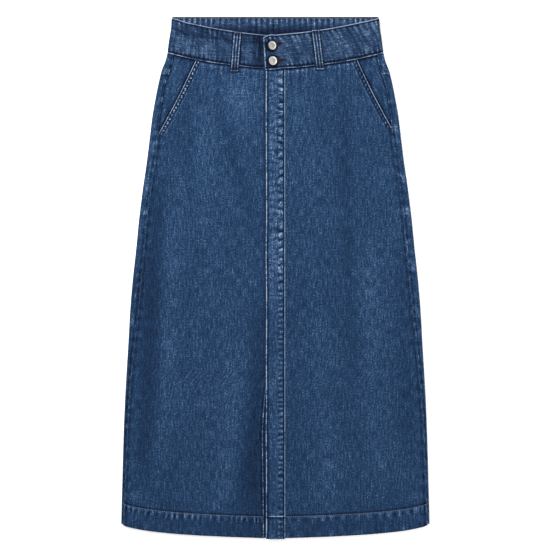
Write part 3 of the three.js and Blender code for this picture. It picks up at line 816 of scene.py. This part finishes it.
def placket():
    width = PLACKET_RIGHT_X - PLACKET_LEFT_X
    edge = EDGE_LANES[:10]
    x_lane = np.concatenate([edge, np.linspace(8.5, width - 8.5, 12), width - np.array(edge)[::-1]])
    rows = Lanes(HEM_LANES, WAIST_LANES, 380)
    x = PLACKET_LEFT_X + x_lane[:, None]
    bottom = hem_edge(np.abs(x)) - 1
    top = front_seam(np.abs(x)) - overlap_hang(x) - GAP
    y = rows.between(bottom, top, 1)
    x = x + 0 * y
    x = x + 0.45 * bell(x - PLACKET_LEFT_X, 6) * wobble(y, 60, 91) * ease(y - bottom, 0, 40)
    from_left = x_lane[:, None] + 0 * y
    from_right = width - from_left
    from_hem = y - bottom
    lower = 1 - ease(y, -120, 60)
    between = ease(from_left, 3, 6) * ease(from_right, 2.8, 4.4)
    strip = between * (1 - ease(from_right, 9.5, 13))
    # Crumpled blocks above and even rungs below, with painted shade in their valleys, and painted light and
    # shade across the folds of the upper strip
    blocks, creases = crumple(x, y, 12, 0.5, 0.2, 41)
    rungs, gaps = crumple(x, y, 8.7, 0.12, 0.42, 43)
    patchy = 0.35 + 0.65 * strip + 0.35 * np.maximum(clouds(x, y, 9, 17, 57), 0)
    blocks = blocks * between * (1 - lower)
    creases = creases * between * patchy * (1 - 0.75 * lower)
    rungs, gaps = rungs * strip * lower, gaps * strip * lower
    folded = crumple(x, y, 13.5, 0.16, 0.22, 61)[1]
    lit = crumple(x, y - 2.2, 13.5, 0.16, 0.22, 61)[0]
    rope = 0.8 * blocks + rungs
    left_rope = 0.55 * pucker(y, 8.2, 47, from_left, 5)
    hem_rope = pucker(x, 6.5, 53) * bell(from_hem - 20, 11)
    z = front_z(x, y) + GAP + PLACKET_CLOTH + 0.25 * rope - 0.3 * creases + 0.2 * left_rope
    z = z - 0.45 * bell(from_right - 2.0, 0.9) - 0.5 * bell(from_hem - HEM_DEPTH, 1.3) + 0.3 * hem_rope
    z = z - rounded(np.minimum(np.minimum(from_left, from_right), from_hem), 0.8)

    grit = clouds(x, y, 2.6, 2.2, 55)
    tone = 0.9 * wash_and_painted_light(x, y) + 0.34 * blocks * (1 + 0.2 * grit) + 1.05 * np.maximum(rungs, 0)
    tone += 0.5 * left_rope + 0.7 * hem_rope - 1.5 * creases - 1.6 * gaps
    tone += between * (0.44 - 0.22 * lower + 0.26 * clouds(x, y, 14, 26, 51))
    tone += strip * (1 - lower) * (0.22 + 1.1 * np.maximum(lit, 0) ** 2 - 2.3 * folded)
    tone -= 0.8 * (1 - lower) * bell(from_right - 12.6, 0.8) * (0.5 + 0.5 * wobble(y, 14, 59))
    tone += 3.3 * worn(y, 49) * bell(from_left - 0.8, 0.95)
    tone += (1.9 + 0.8 * worn(y, 50)) * bell(from_right - 0.3, 1.0)
    # Painted shade in the furrow along the right edge and under the band, and a dark line by the left edge's
    # sewing
    tone += lines(from_right, (-1.8, 2.4, 1.1)) + lines(from_left, (-1.7, 3, 1.2))
    tone += lines(top - y, (-2.6, 0, 2.2))
    tone += lines(from_hem, (-2.2, HEM_DEPTH - 0.9, 1.1), (1.2, 0, 1.2))
    tone += lines(from_hem, (2.1, HEM_DEPTH + 1.6, 1.1)) * ease(from_left, 3, 6)
    outer = np.stack([x, y, z], -1)
    inner = np.stack([x, y, front_z(x, y) + GAP], -1)
    cloth("front_placket", outer, inner, tone, -0.3, grain_of(outer, 977))

    NAVY.lane(outer, normals_of(outer, UP), lane_at(edge, 2.6, len(x_lane)), 0)
    bar_x = PLACKET_LEFT_X + 6.6
    bar_y = float(hem_edge(0.0)) + HEM_DEPTH - 3.2
    RUST.bar((bar_x, bar_y, front_z(bar_x, bar_y) + GAP + PLACKET_CLOTH + 0.2), ACROSS, UP, 5)


# Pocket facings

def facing(side, pocket, name):
    line = pocket_line(pocket)
    u = np.linspace(0, 1, 60)[:, None]
    v = np.linspace(0, 1, 90)[None, :]

    def across(y):
        return lerp(line(y) - FACING_UNDER_PANEL, seam_x(y) + FACING_UNDER_BACK, u)

    top = meet(across, front_seam, u * 0) - GAP
    y = lerp(pocket["bottom_y"] - FACING_BELOW_POCKET, top, v)
    x = side * across(y)
    from_top = top - y
    from_mouth = np.abs(x) - line(y)
    from_seam = seam_x(y) - np.abs(x)
    puff = 0.35 * bell(from_mouth - 14, 9) * ease(from_seam, 2, 8)
    waist = pucker(x, 8, 71, from_top, 7) * ease(from_mouth, 0, 4)
    flat = front_z(x, y) - CLOTH - GAP
    z = np.where(from_mouth < 1, flat, flat + puff + 0.25 * waist)
    # Painted shadow under the band and beside the pocket's mouth edge
    tone = 0.8 * waist - 0.08 * side + lines(from_top, (-2.4, 0, 2.2))
    tone += lines(from_mouth, (-2.4, 0, 3)) + lines(from_seam, (-1.5, 0, 1.7), (0.25, 5, 3))
    tone += 0.3 * clouds(x, y, 6, 40, 73) + 0.3 * clouds(x + 0.3 * side * y, y, 9, 60, 76)
    outer = np.stack([x, y, z], -1)
    inner = outer - np.array([0, 0, CLOTH])
    cloth(name, outer, inner, tone, -0.3, grain_of(outer, 510 + 90 * side))


# Back: each half lies flat, turns up round the side fold and comes forward to the side seam

BACK_REACH = 180
BACK_NEAR = np.array([0, 0.5, 1.2, 2.1, 3.2, 4.5, 6, 8, 10.5]) / BACK_REACH
BACK_FAR = [0.955, 0.97, 0.98, 0.988, 0.995, 1]
SLIT_SHADE_X = (-27, -21)


def back_piece(side, bottom_of, top_of, rows, name, yoke):
    middle = lerp(BACK_NEAR[-1], BACK_FAR[0], np.linspace(0, 1, 26)[1:-1])
    flat = np.concatenate([BACK_NEAR, middle, BACK_FAR])
    turns = np.linspace(-np.pi / 2, np.pi / 2, 15)[1:]
    wraps = np.linspace(0, 1, 12)[1:]
    stretches = [("flat", f) for f in flat] + [("turn", t) for t in turns] + [("wrap", w) for w in wraps]
    outer, inner, lows, tops = [], [], [], []
    for kind, value in stretches:
        share = value if kind == "flat" else 1.0
        wrapped = value if kind == "wrap" else 0.0
        low, high = bottom_of(share, wrapped), top_of(share, wrapped)
        y = rows.between(np.array([[low]]), np.array([[high]]), 1)[0]
        half = half_width(y)
        base = back_underside(y)
        radius = (front_z(half, y) - base) / 2
        thick = CLOTH if yoke else layers(y - low)
        if kind == "flat":
            x = np.maximum(value * (half - radius), GAP / 2)
            faces = [(x, base), (x, base + thick)]
        elif kind == "turn":
            faces = [(half - radius + r * np.cos(value), base + radius + r * np.sin(value))
                     for r in (radius, radius - thick)]
        else:
            x = lerp(half - radius, seam_x(y), value)
            faces = [(x, front_z(x, y)), (x, front_z(x, y) - thick)]
        for face, (x, z) in zip((outer, inner), faces):
            face.append(np.stack([side * x, y, z], -1))
        lows.append(0 * y + low)
        tops.append(0 * y + high)
    outer, inner = np.array(outer), np.array(inner)

    x, y = outer[..., 0], outer[..., 1]
    from_hem, from_top = y - np.array(lows), np.array(tops) - y
    index = np.arange(len(outer))[:, None] + 0 * y
    flat_below = index < len(flat)
    from_seam = np.where(index >= len(flat) + len(turns) - 1, np.abs(x) - seam_x(y), FAR)
    from_centre = np.where(flat_below, np.abs(x), FAR)
    seed = 110 if side > 0 else 140
    on_top = ease(index, len(flat) + len(turns) * 0.45, len(flat) + len(turns))
    seam_rope = pucker(y, 16, seed, from_seam, 5) + 0.5 * pucker(y, 6.5, seed + 2, from_seam, 4)
    lift = 0.22 * seam_rope * on_top
    blotch = np.maximum(clouds(from_seam, y, 5, 9, seed + 12), 0)
    tone = on_top * (0.9 * np.minimum(seam_rope, 0.4) + 0.5 * worn(y, seed + 10) * bell(from_seam - 0.5, 1.0)
                     - 1.2 * bell(from_seam - 2.2, 1.1) + 1.2 * blotch**2 - 0.15 + 0.18 * side
                     + 0.2 * (1 - side) * ease(y, -20, 80))
    centre_rope = pucker(y, 8.5, seed + 4, from_centre, 6)
    tone += 0.8 * centre_rope + lines(from_centre, (-1.3, 0, 1.1), (0.5, 4, 2))
    felled = pucker(x, 8, seed + 8, from_hem if yoke else from_top, 6)
    tone += 0.7 * felled
    if yoke:
        tone += lines(from_hem, (1.0, 0, 1.3), (-0.7, 2.6, 1.0))
        tone += 0.8 * pucker(x, 7.4, seed + 9, from_top, 7) - 1.2 * bell(from_top, 1.5)
    else:
        tone += lines(from_top, (-1.2, 0, 1.3), (-0.7, 2.6, 1.0))
        rope = pucker(x, 7.1, seed + 6) * bell(from_hem - 26, 9)
        tone += 0.8 * rope + lines(from_hem, (1.1, 0, 1.4), (-0.9, HEM_DEPTH + 0.5, 1.6))
        lift = lift + 0.25 * rope * on_top
    lift = lift + 0.2 * felled * on_top
    inside = 0 * tone - 0.25
    if side < 0:
        # Painted shade on the inside of the back, seen through the open slit
        inside -= 0.7 * flat_below * ease(x, *SLIT_SHADE_X) * (1 - slit(y))
    outer[..., 2] += lift + 0.35 * flat_below * (1 - 0.6 * np.maximum(centre_rope + felled, 0))
    outer[..., 2] -= on_top * rounded(from_seam, 0.35)
    cloth(name, outer, inner, tone, inside, grain_of(outer, seed * 13.1))

    normal = normals_of(outer, DOWN)
    for distance in (2.0, 8.0) if yoke else (HEM_DEPTH - 1.8,):
        TONAL.lane(outer, normal, lane_at(YOKE_LANES if yoke else HEM_LANES, distance), 1)
    for column in (3, 7):
        TONAL.row(outer[column], normal[column])


def back():
    panel_rows = Lanes(HEM_LANES, WAIST_LANES, 230)
    yoke_rows = Lanes(YOKE_LANES, YOKE_TOP_LANES, 8)

    def hem_of(share, wrapped):
        if wrapped:
            return float(hem_edge(lerp(HEM_FOLD_X, seam_x(HEM_SIDE_Y), wrapped)))
        return float(hem_edge(share * half_width(HEM_Y)))

    def yoke_of(share):
        return float(yoke_y(share * half_width(YOKE_SIDE_Y)))

    def band_of(share, wrapped):
        if wrapped:
            return float(front_seam(lerp(BAND_SIDE_X, seam_x(BAND_SIDE_Y), wrapped))) - GAP
        return float(back_seam(share * BAND_SIDE_X)) - GAP

    for side, word in ((-1, "right"), (1, "left")):
        below_yoke = lambda share, wrapped: yoke_of(share) - GAP / 2
        above_yoke = lambda share, wrapped: yoke_of(share) + GAP / 2
        back_piece(side, hem_of, below_yoke, panel_rows, f"back_panel_{word}", yoke=False)
        back_piece(side, above_yoke, band_of, yoke_rows, f"back_yoke_{word}", yoke=True)


# Waistband: one doubled strip from under the buttons round the back to the buttonholes

BAND_REACH = 190
BAND_NEAR = np.array([0, 0.35, 0.8, 1.4, 2.1, 2.9, 3.8, 4.8]) / BAND_REACH
BAND_END = 6 / BAND_REACH


def band_columns():
    """The stretches of the band, as (stretch, share along it)."""
    stretches = {
        "under": np.concatenate([BAND_NEAR, np.linspace(BAND_END, 1, 120)]),
        "turn_right": np.linspace(0, 1, 16)[1:],
        "back": np.linspace(0, 1, 150)[1:],
        "turn_left": np.linspace(0, 1, 16)[1:],
        "over": np.concatenate([np.linspace(0, 1 - BAND_END, 120), 1 - BAND_NEAR[::-1]])[1:],
    }
    return [(stretch, t) for stretch, shares in stretches.items() for t in shares]


def band_point(stretch, t, v):
    """Outer x, y, z of the band at shares v of its height, with the way its thickness goes in x and z."""
    high = BAND_FRONT_Z + BAND_SIDE_RISE
    radius = (high - BAND_BACK_Z) / 2
    side = -1 if stretch in ("under", "turn_right") else 1
    if stretch in ("under", "over"):
        over = stretch == "over"
        end = lerp(OVERLAP_BOTTOM_X, OVERLAP_TOP_X, v) if over else UNDERLAP_END_X + 0 * v
        across = lambda y: lerp(end, side * (half_width(y) - radius), 1 - t if over else t)
        top = meet(across, front_top, v * 0)
        seam = meet(across, front_seam, v * 0)
        if over:
            near = np.maximum(0, 1 - (across(WAIST_Y + 0 * v) - OVERLAP_TOP_X) / OVERLAP_CORNER)
            top = top - OVERLAP_CORNER_DROP * near**1.5
            seam = seam - overlap_hang(across(BAND_SIDE_Y + 0 * v))
        else:
            top = top - right_dip(across(WAIST_Y + 0 * v))
        y = lerp(seam, top, v)
        x = across(y)
        return x, y, band_z(x, over), 0 * v, -1 + 0 * v
    if stretch == "back":
        share = lerp(-1, 1, t)
        at = abs(share) * (half_width(WAIST_Y) - radius)
        y = lerp(back_seam(at), WAIST_Y, v)
        return share * (half_width(y) - radius), y, BAND_BACK_Z + 0 * v, 0 * v, 1 + 0 * v
    turn = (1 - t if stretch == "turn_right" else t) * np.pi - np.pi / 2
    forward = (np.sin(turn) + 1) / 2
    top = lerp(WAIST_Y, front_top(half_width(WAIST_Y) - radius), forward)
    y = lerp(BAND_SIDE_Y, top, v)
    x = side * (half_width(y) - radius + radius * np.cos(turn))
    z = BAND_BACK_Z + radius + radius * np.sin(turn) + 0 * v
    return x, y, z, -side * np.cos(turn) + 0 * v, -np.sin(turn) + 0 * v


def waistband():
    near = np.array(BAND_LANES)
    reach = BAND_LANES[-1]
    middle = np.linspace(reach, BAND_HEIGHT - reach, 16)[1:-1]
    v = np.concatenate([near, middle, BAND_HEIGHT - near[::-1]]) / BAND_HEIGHT
    columns = band_columns()
    names = np.array([stretch for stretch, t in columns])
    points = [band_point(stretch, t, v) for stretch, t in columns]
    x, y, z, into_x, into_z = (np.array([p[k] for p in points]) for k in range(5))
    outer = np.stack([x, y, z], -1)
    into = np.stack([into_x, 0 * y, into_z], -1)
    step = np.linalg.norm(np.diff(outer[:, len(v) // 2], axis=0), axis=-1)
    s = np.concatenate([[0], np.cumsum(step)])[:, None] + 0 * y
    from_low = v[None, :] * BAND_HEIGHT + 0 * y
    from_high = BAND_HEIGHT - from_low
    under, over, behind = ((names == word)[:, None] + 0 * y for word in ("under", "over", "back"))
    from_end = np.where(over, x - lerp(OVERLAP_BOTTOM_X, OVERLAP_TOP_X, v)[None, :], FAR)

    # Puckers along both edges, loose cloth between them, and the fold line of the right half, with painted
    # shade above that fold and along it
    lean = np.where(over, 0.4, 0.1)
    low_rope = pucker(s, 7.4, 201, from_low, 7.5, -0.1) + 0.4 * pucker(s, 4.1, 203, from_low, 4.5)
    top_rope = pucker(s, 8.9, 205, from_high, 8.5, lean) + 0.4 * pucker(s, 4.6, 207, from_high, 6, lean)
    loose = clouds(s + 0.6 * from_high, from_high, 7, 12, 209)
    bend = 16.5 + 4 * wobble(x, 34, 221)
    lift = 0.75 * low_rope * ease(from_low, 1, 4) + 0.75 * top_rope * ease(from_high, 0, 3) + 0.2 * loose
    lift -= 0.5 * bell(from_low - 3.0, 1.0) + 0.4 * bell(from_high - 2.4, 0.9)
    lift -= under * 0.5 * bell(from_high - bend, 4) + 0.35 * bell(from_end - 2.6, 0.9)
    tone = 2.5 * low_rope * ease(from_low, 2.5, 5) + 2.7 * top_rope * ease(from_high, 1.5, 4)
    streaks = clouds(s + lean * from_high, from_high, 2.6, 26, 223)
    tone += 0.42 * loose + 0.1 + 0.5 * streaks * ease(from_high, 3, 8) * ease(from_low, 4, 10)
    tone -= under * (0.4 * (1 - ease(from_high, bend - 3, bend + 4)) + 0.55 * bell(from_high - bend, 2.6))
    # Turned and sewn edges: pale rubbed edges, with painted shade in the sewn furrows beside them and along
    # the back's top edge
    tone += 2.5 * worn(s, 215) * bell(from_low - 0.9, 0.7) - 2.9 * bell(from_low - 3.3, 1.4)
    tone += np.where(behind, -1.5, 2.6 + 1.4 * worn(s, 217)) * bell(from_high, 1.25)
    tone -= (1.7 + 0.5 * behind) * bell(from_high - 3.0, 1.1)
    tone += 3.1 * worn(y, 219) * bell(from_end, 1.5) - 1.6 * bell(from_end - 3.2, 1.0)
    tone += 1.6 * bell(np.hypot(np.minimum(from_end, 30), from_high), 3.5)
    # Painted shadow beside the loops, round the buttons and beside the overlap, and one pale crease there
    tone -= 1.9 * painted_loop_shadow(x, y) * (under + over)
    for button_at in BUTTONS.values():
        away = np.hypot(x - button_at["x"] - 2, y - button_at["y"])
        tone -= over * 3.4 * bell(away - 7.8, 2.4)
    crease = bell(x + 29.7 - 0.12 * (y - 375), 1.0) * ease(y, 358, 366) * (1 - ease(y, 392, 398))
    tone += under * (1.5 * crease - 1.15 * bell(x + 24, 11))

    # The inside of the back band: puckers near its top edge, with painted shade along that edge and deeper
    # painted shade lower down, where the front lies over it
    inside_rope = pucker(s, 9.6, 211, from_high, 16) + 0.6 * pucker(s, 5, 213, from_high, 12)
    inner_tone = 2.2 * inside_rope + lines(from_high, (-2.2, 0, 2), (0.5, 8, 5))
    inner_tone = inner_tone - 1.2 * ease(from_high, 12, 26) - 0.25
    inner_lift = 0.35 * inside_rope - 0.3 * bell(from_high - 3, 1.0)

    edge = rounded(np.minimum(np.minimum(from_low, from_high), from_end), 0.95)
    shaped = outer - into * (lift * (1 - behind))[..., None] + into * edge[..., None]
    inner = outer + into * (BAND_CLOTH + inner_lift * behind - edge)[..., None]
    grain = np.stack([from_low + 1213, s], -1)
    obj = cloth("waistband", shaped, inner, tone, inner_tone, grain,
                band=True)

    normal = normals_of(shaped, UP)
    for distance, total in ((3.0, None), (2.4, len(v))):
        NAVY.lane(shaped, normal, lane_at(BAND_LANES, distance, total), 1)
    NAVY.lane(shaped, normal, len(columns) - 1 - 4.8, 0, slice(8, -8))
    TONAL.lane(inner, -normals_of(inner, UP), lane_at(BAND_LANES, 2.6, len(v)), 1, names == "back")
    return obj


# Belt loops: three ridges with two sewn furrows between turned edges

LOOP_ACROSS = np.concatenate([-LOOP_WIDTH / 2 + np.array([0, 0.3, 0.7]), np.linspace(-4.7, 4.7, 27),
                              LOOP_WIDTH / 2 - np.array([0.7, 0.3, 0])])[:, None]
LOOP_WAVE = np.cos(2 * np.pi * LOOP_ACROSS / LOOP_RIDGE)
FROM_LOOP_EDGE = LOOP_WIDTH / 2 - np.abs(LOOP_ACROSS)


def belt_loop(name, x, y, outer_z, inner_z, tone, offset, up, rests_on, sewn=slice(None)):
    outer = np.stack([x, y, outer_z], -1)
    inner = np.stack([x, y, inner_z], -1)
    cloth(name, outer, inner, tone, -0.5, grain_of(outer, offset), band=True)
    for furrow in (-LOOP_RIDGE / 2, LOOP_RIDGE / 2):
        NAVY.lane(outer, normals_of(outer, up), lane_at(LOOP_ACROSS[:, 0], furrow), 0, sewn, pitch=3.0)


def front_loop(name, top_x, bottom_x, top_y, bottom_y):
    left = top_x > 0
    length = top_y - bottom_y
    near = np.array([0, 0.3, 0.7, 1.3, 2, 3])
    at = np.concatenate([near, np.linspace(4, length - 4, 60), length - near[::-1]])[None, :]
    from_top = length - at
    v = at / length
    y = lerp(bottom_y, top_y, v) + 0 * LOOP_ACROSS
    x = lerp(bottom_x, top_x, v) + LOOP_ACROSS
    seam = front_seam(np.abs(x))
    seat = lerp(front_z(x, y), band_z(x, left), ease(y, seam - 8, seam - 1))
    under = seat + GAP + 2.1 * np.sin(np.pi * ease(v, 0.12, 0.97))
    rope = pucker(at + 0 * x, 5.6, 301 if left else 307)
    ends = bell(at, 2.4) + bell(from_top, 2.2)
    z = under + LOOP_CLOTH + 0.35 * LOOP_WAVE - rounded(FROM_LOOP_EDGE, 0.9) + 0.55 * ends + 0.14 * rope
    z = z - rounded(np.minimum(at, from_top), 0.9)
    ridges = LOOP_WAVE + 0 * x
    tone = (0.7 + 0.75 * worn(at + 0 * x, 303)) * np.maximum(ridges, 0) - 1.5 * np.maximum(-ridges, 0)
    tone += 0.35 * rope + 1.3 * bell(FROM_LOOP_EDGE, 0.8)
    turned = bell(at, 1.2) + bell(from_top, 1.0)
    tone = lerp(tone, 3.2 if left else 1.2, np.minimum(turned, 1))
    tone -= 1.2 * bell(at - 5, 3) + (0.9 if left else 0.4) * bell(from_top - 4.4, 2.2)
    belt_loop(name, x, y, z, under, tone, 1500 + 60 * left, UP, ["denim_waistband"], slice(6, -6))
    bars = NAVY if left else RUST
    for place in (2.4, length - 2.2):
        level = float(z[:, int(np.argmin(np.abs(at[0] - place)))].max()) - 0.05
        centre = (lerp(bottom_x, top_x, place / length), bottom_y + place, level)
        bars.bar(centre, ACROSS, UP, 9.4, 1.5)


def back_loop(name, centre):
    """A loop of the back, pressed flat between the band and the surface."""
    low, high = (v / MM for v in (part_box(name)[0][1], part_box(name)[1][1]))
    at = np.linspace(0, high - low, 60)[None, :]
    x = centre + LOOP_ACROSS + 0 * at
    y = low + at + 0 * LOOP_ACROSS
    furrow = np.maximum(-LOOP_WAVE, 0)
    z = 0.28 * furrow + rounded(FROM_LOOP_EDGE, 0.6) * 0.6 + 0 * at
    tone = 1.1 - 2.4 * furrow + 0.5 * pucker(at + 0 * x, 5.6, 320 + int(centre))
    belt_loop(name, x, y, z, LOOP_CLOTH + 0 * x, tone, 1800 + centre, DOWN, ["floor"])
    for place in (2.5, high - low - 2.5):
        RUST.bar((centre, low + place, 0.35), ACROSS, DOWN, 11)


# Buttons and buttonholes

# Radius and height of a button's outline, from the foot of the shank round the rim to the face's middle
BUTTON_PROFILE = [
    (0, 0), (2.1, 0), (2.1, 0.8), (1.9, 1.6), (1.9, 4.4), (2.3, 4.85), (5.9, 4.95), (6.6, 5.05),
    (7.2, 5.35), (7.5, 5.8), (7.48, 6.2), (7.25, 6.55), (6.8, 6.76), (6.3, 6.8), (5.9, 6.7),
    (5.6, 6.45), (5.35, 6.28), (4.9, 6.24), (4, 6.28), (3.1, 6.34), (2.9, 6.46), (2.5, 6.52),
    (2.1, 6.52), (1.8, 6.46), (1, 6.5), (0, 6.52),
]
SHANK_RADIUS = 2.1
# The keyhole: its eye, the ring of stitches round it, and the banks of stitches along the slot
EYE_RADIUS = 2.9
EYE_RING = (3.3, 5.2)
SLOT_START = 3.4
SLOT_PITCH = 0.43
SLOT_INSIDE = (0.9, 0.15)
SLOT_OUTSIDE = (4.4, 1.0)
SLOT_HALF = 0.25


def button(name, x, y, hole_end, tilt):
    turns = 72
    angle = np.linspace(0, 2 * np.pi, turns, endpoint=False)
    profile = np.array(BUTTON_PROFILE)
    radius = np.maximum(profile[:, 0], 0.02)
    points = np.stack([radius[:, None] * np.cos(angle), radius[:, None] * np.sin(angle),
                       profile[:, 1][:, None] + 0 * angle], -1)
    lean = math.radians(tilt)
    turn = np.array([[math.cos(lean), 0, math.sin(lean)], [0, 1, 0], [-math.sin(lean), 0, math.cos(lean)]])
    foot = np.array([x, y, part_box(name)[0][2] / MM + SHANK_RADIUS * math.sin(lean)])
    vertices = (points @ turn.T + foot).reshape(-1, 3)
    start = np.arange(len(profile) - 1)[:, None] * turns
    a = start + np.arange(turns)
    b = start + (np.arange(turns) + 1) % turns
    quads = outward(vertices, np.stack([a, b, b + turns, a + turns], -1).reshape(-1, 4))
    obj = mesh_object(f"metal_{name}", vertices, quads, METAL)
    obj.data.materials.append(DULL_METAL)
    obj.data.materials.append(SIDE_METAL_PAINTED_SHADE)
    ring = np.repeat(np.arange(len(profile) - 1), turns)
    facing_up = (ring > len(profile) // 2) & (radius[ring] <= BUTTON_FACE_RADIUS)
    # The side walls take the dark metal, which paints their shade and dark reflection
    side_wall = (radius[ring] > BUTTON_SIDE_RADIUS) | (ring <= len(profile) // 2 - 4)
    obj.data.polygons.foreach_set("material_index", (facing_up + 2 * side_wall).astype(np.int32))
    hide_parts(name)


def keyhole(place):
    """A keyhole's start, its run to its end, and the directions along and across it."""
    start = np.array([place["x"], place["y"]])
    run = np.array(place["hole_end"]) - start
    along = run / np.hypot(*run)
    return start, run, along, np.array([-along[1], along[0]])


def sew_buttonhole(place):
    """Close stitches round a keyhole: two banks along the slot and a ring at the shank."""
    start, run, along, across = keyhole(place)
    length = np.hypot(*run)
    at = np.arange(SLOT_START, length + 0.8, SLOT_PITCH)
    narrow = ease(at, 6, length + 1)
    middle = start + along * at[:, None]
    for bank in (-1, 1):
        away = [across * (bank * lerp(*reach, narrow))[:, None] for reach in (SLOT_INSIDE, SLOT_OUTSIDE)]
        RUST.on_band(middle + away[0], middle + away[1])
    # The ring at the eye is sewn in the dark navy thread, which stands in for the shade under the button
    angle = np.arange(0.5, 2 * np.pi - 0.5, 0.14)
    ring = along * np.cos(angle)[:, None] + across * np.sin(angle)[:, None]
    NAVY.on_band(start + EYE_RING[0] * ring, start + EYE_RING[1] * ring)


def cut_buttonhole(band, place):
    """Cuts a keyhole through the overlap."""
    start, run, along, across = keyhole(place)
    angle = np.linspace(0.4, 2 * np.pi - 0.4, 20)
    outline = [start + EYE_RADIUS * (along * math.cos(a) + across * math.sin(a)) for a in angle]
    outline += [start + run - across * SLOT_HALF, start + run + across * SLOT_HALF]
    bm = bmesh.new()
    low = [bm.verts.new((*(p * MM), (BAND_FRONT_Z + 0.15) * MM)) for p in outline]
    top = bmesh.ops.extrude_face_region(bm, geom=[bm.faces.new(low)])
    moved = [v for v in top["geom"] if isinstance(v, bmesh.types.BMVert)]
    bmesh.ops.translate(bm, verts=moved, vec=(0, 0, 4.5 * MM))
    bmesh.ops.recalc_face_normals(bm, faces=bm.faces)
    mesh = bpy.data.meshes.new("cutter")
    bm.to_mesh(mesh)
    bm.free()
    cutter = bpy.data.objects.new("cutter", mesh)
    bpy.context.scene.collection.objects.link(cutter)
    cut = band.modifiers.new("buttonhole", "BOOLEAN")
    cut.operation = "DIFFERENCE"
    cut.solver = "EXACT"
    cut.object = cutter
    with bpy.context.temp_override(object=band, active_object=band):
        bpy.ops.object.modifier_apply(modifier=cut.name)
    bpy.data.objects.remove(cutter)


# Stage, light and camera

FLOOR_HALF = 6.0
FLOOR_LEVEL = -0.0004


def stage():
    mesh = bpy.data.meshes.new("floor")
    signs = ((-1, -1), (1, -1), (1, 1), (-1, 1))
    corners = [(x * FLOOR_HALF, y * FLOOR_HALF, FLOOR_LEVEL) for x, y in signs]
    mesh.from_pydata(corners, [], [(0, 1, 2, 3)])
    floor = bpy.data.objects.new("floor", mesh)
    bpy.context.scene.collection.objects.link(floor)
    white = {"Base Color": (0.98, 0.98, 0.98, 1), "Roughness": 0.9, "Specular IOR Level": 0.1}
    mesh.materials.append(Shader("floor_white").finish(white))


def area_light(name, place, size, energy):
    data = bpy.data.lights.new(name, "AREA")
    data.shape = "SQUARE"
    data.size = size
    data.energy = energy
    light = bpy.data.objects.new(name, data)
    light.location = place
    bpy.context.scene.collection.objects.link(light)
    aim = bpy.data.objects["floor"].location - light.location
    light.rotation_euler = aim.to_track_quat("-Z", "Y").to_euler()


def lights():
    area_light("key", place=(-0.9, 1.5, 1.7), size=0.9, energy=72)
    area_light("fill", place=(1.2, -0.6, 2.2), size=2.2, energy=30)
    world = bpy.data.worlds.new("studio")
    world.use_nodes = True
    world.node_tree.nodes["Background"].inputs["Color"].default_value = (1, 1, 1, 1)
    world.node_tree.nodes["Background"].inputs["Strength"].default_value = 0.78
    bpy.context.scene.world = world


# The photograph's scale and the place of the skirt's middle in it
MM_PER_PIXEL = 1.646
PHOTO_SIDE = 550
SKIRT_MIDDLE_PIXEL = (275.35, 277.9)
SKIRT_LEVEL = 0.005


def camera():
    data = bpy.data.cameras.new("camera")
    data.lens = 85
    data.sensor_width = 36
    distance = PHOTO_SIDE * MM_PER_PIXEL * MM * data.lens / data.sensor_width
    view = bpy.data.objects.new("camera", data)
    offset = [(middle - PHOTO_SIDE / 2) * MM_PER_PIXEL * MM for middle in SKIRT_MIDDLE_PIXEL]
    view.location = (-offset[0], offset[1], distance + SKIRT_LEVEL)
    bpy.context.scene.collection.objects.link(view)
    bpy.context.scene.camera = view


front_panel(-1, POCKETS["right"], right_edge, "front_panel_right")
front_panel(1, POCKETS["left"], left_edge, "front_panel_left")
placket()
facing(-1, POCKETS["right"], "pocket_facing_right")
facing(1, POCKETS["left"], "pocket_facing_left")
back()
band_piece = waistband()
for button_place in BUTTONS.values():
    cut_buttonhole(band_piece, button_place)
for loop_name, sizes in FRONT_LOOPS.items():
    front_loop(loop_name, **sizes)
for loop_name, middle_x in BACK_LOOPS.items():
    back_loop(loop_name, middle_x)
for button_name, button_place in BUTTONS.items():
    button(button_name, **button_place)
    sew_buttonhole(button_place)
TONAL.build("stitches_tonal", TONAL_THREAD, radius=0.32)
NAVY.build("stitches_navy", NAVY_THREAD)
RUST.build("stitches_rust", RUST_THREAD, radius=0.24, arch=0.25)
stage()
lights()
camera()
bpy.context.scene.view_settings.view_transform = "Standard"
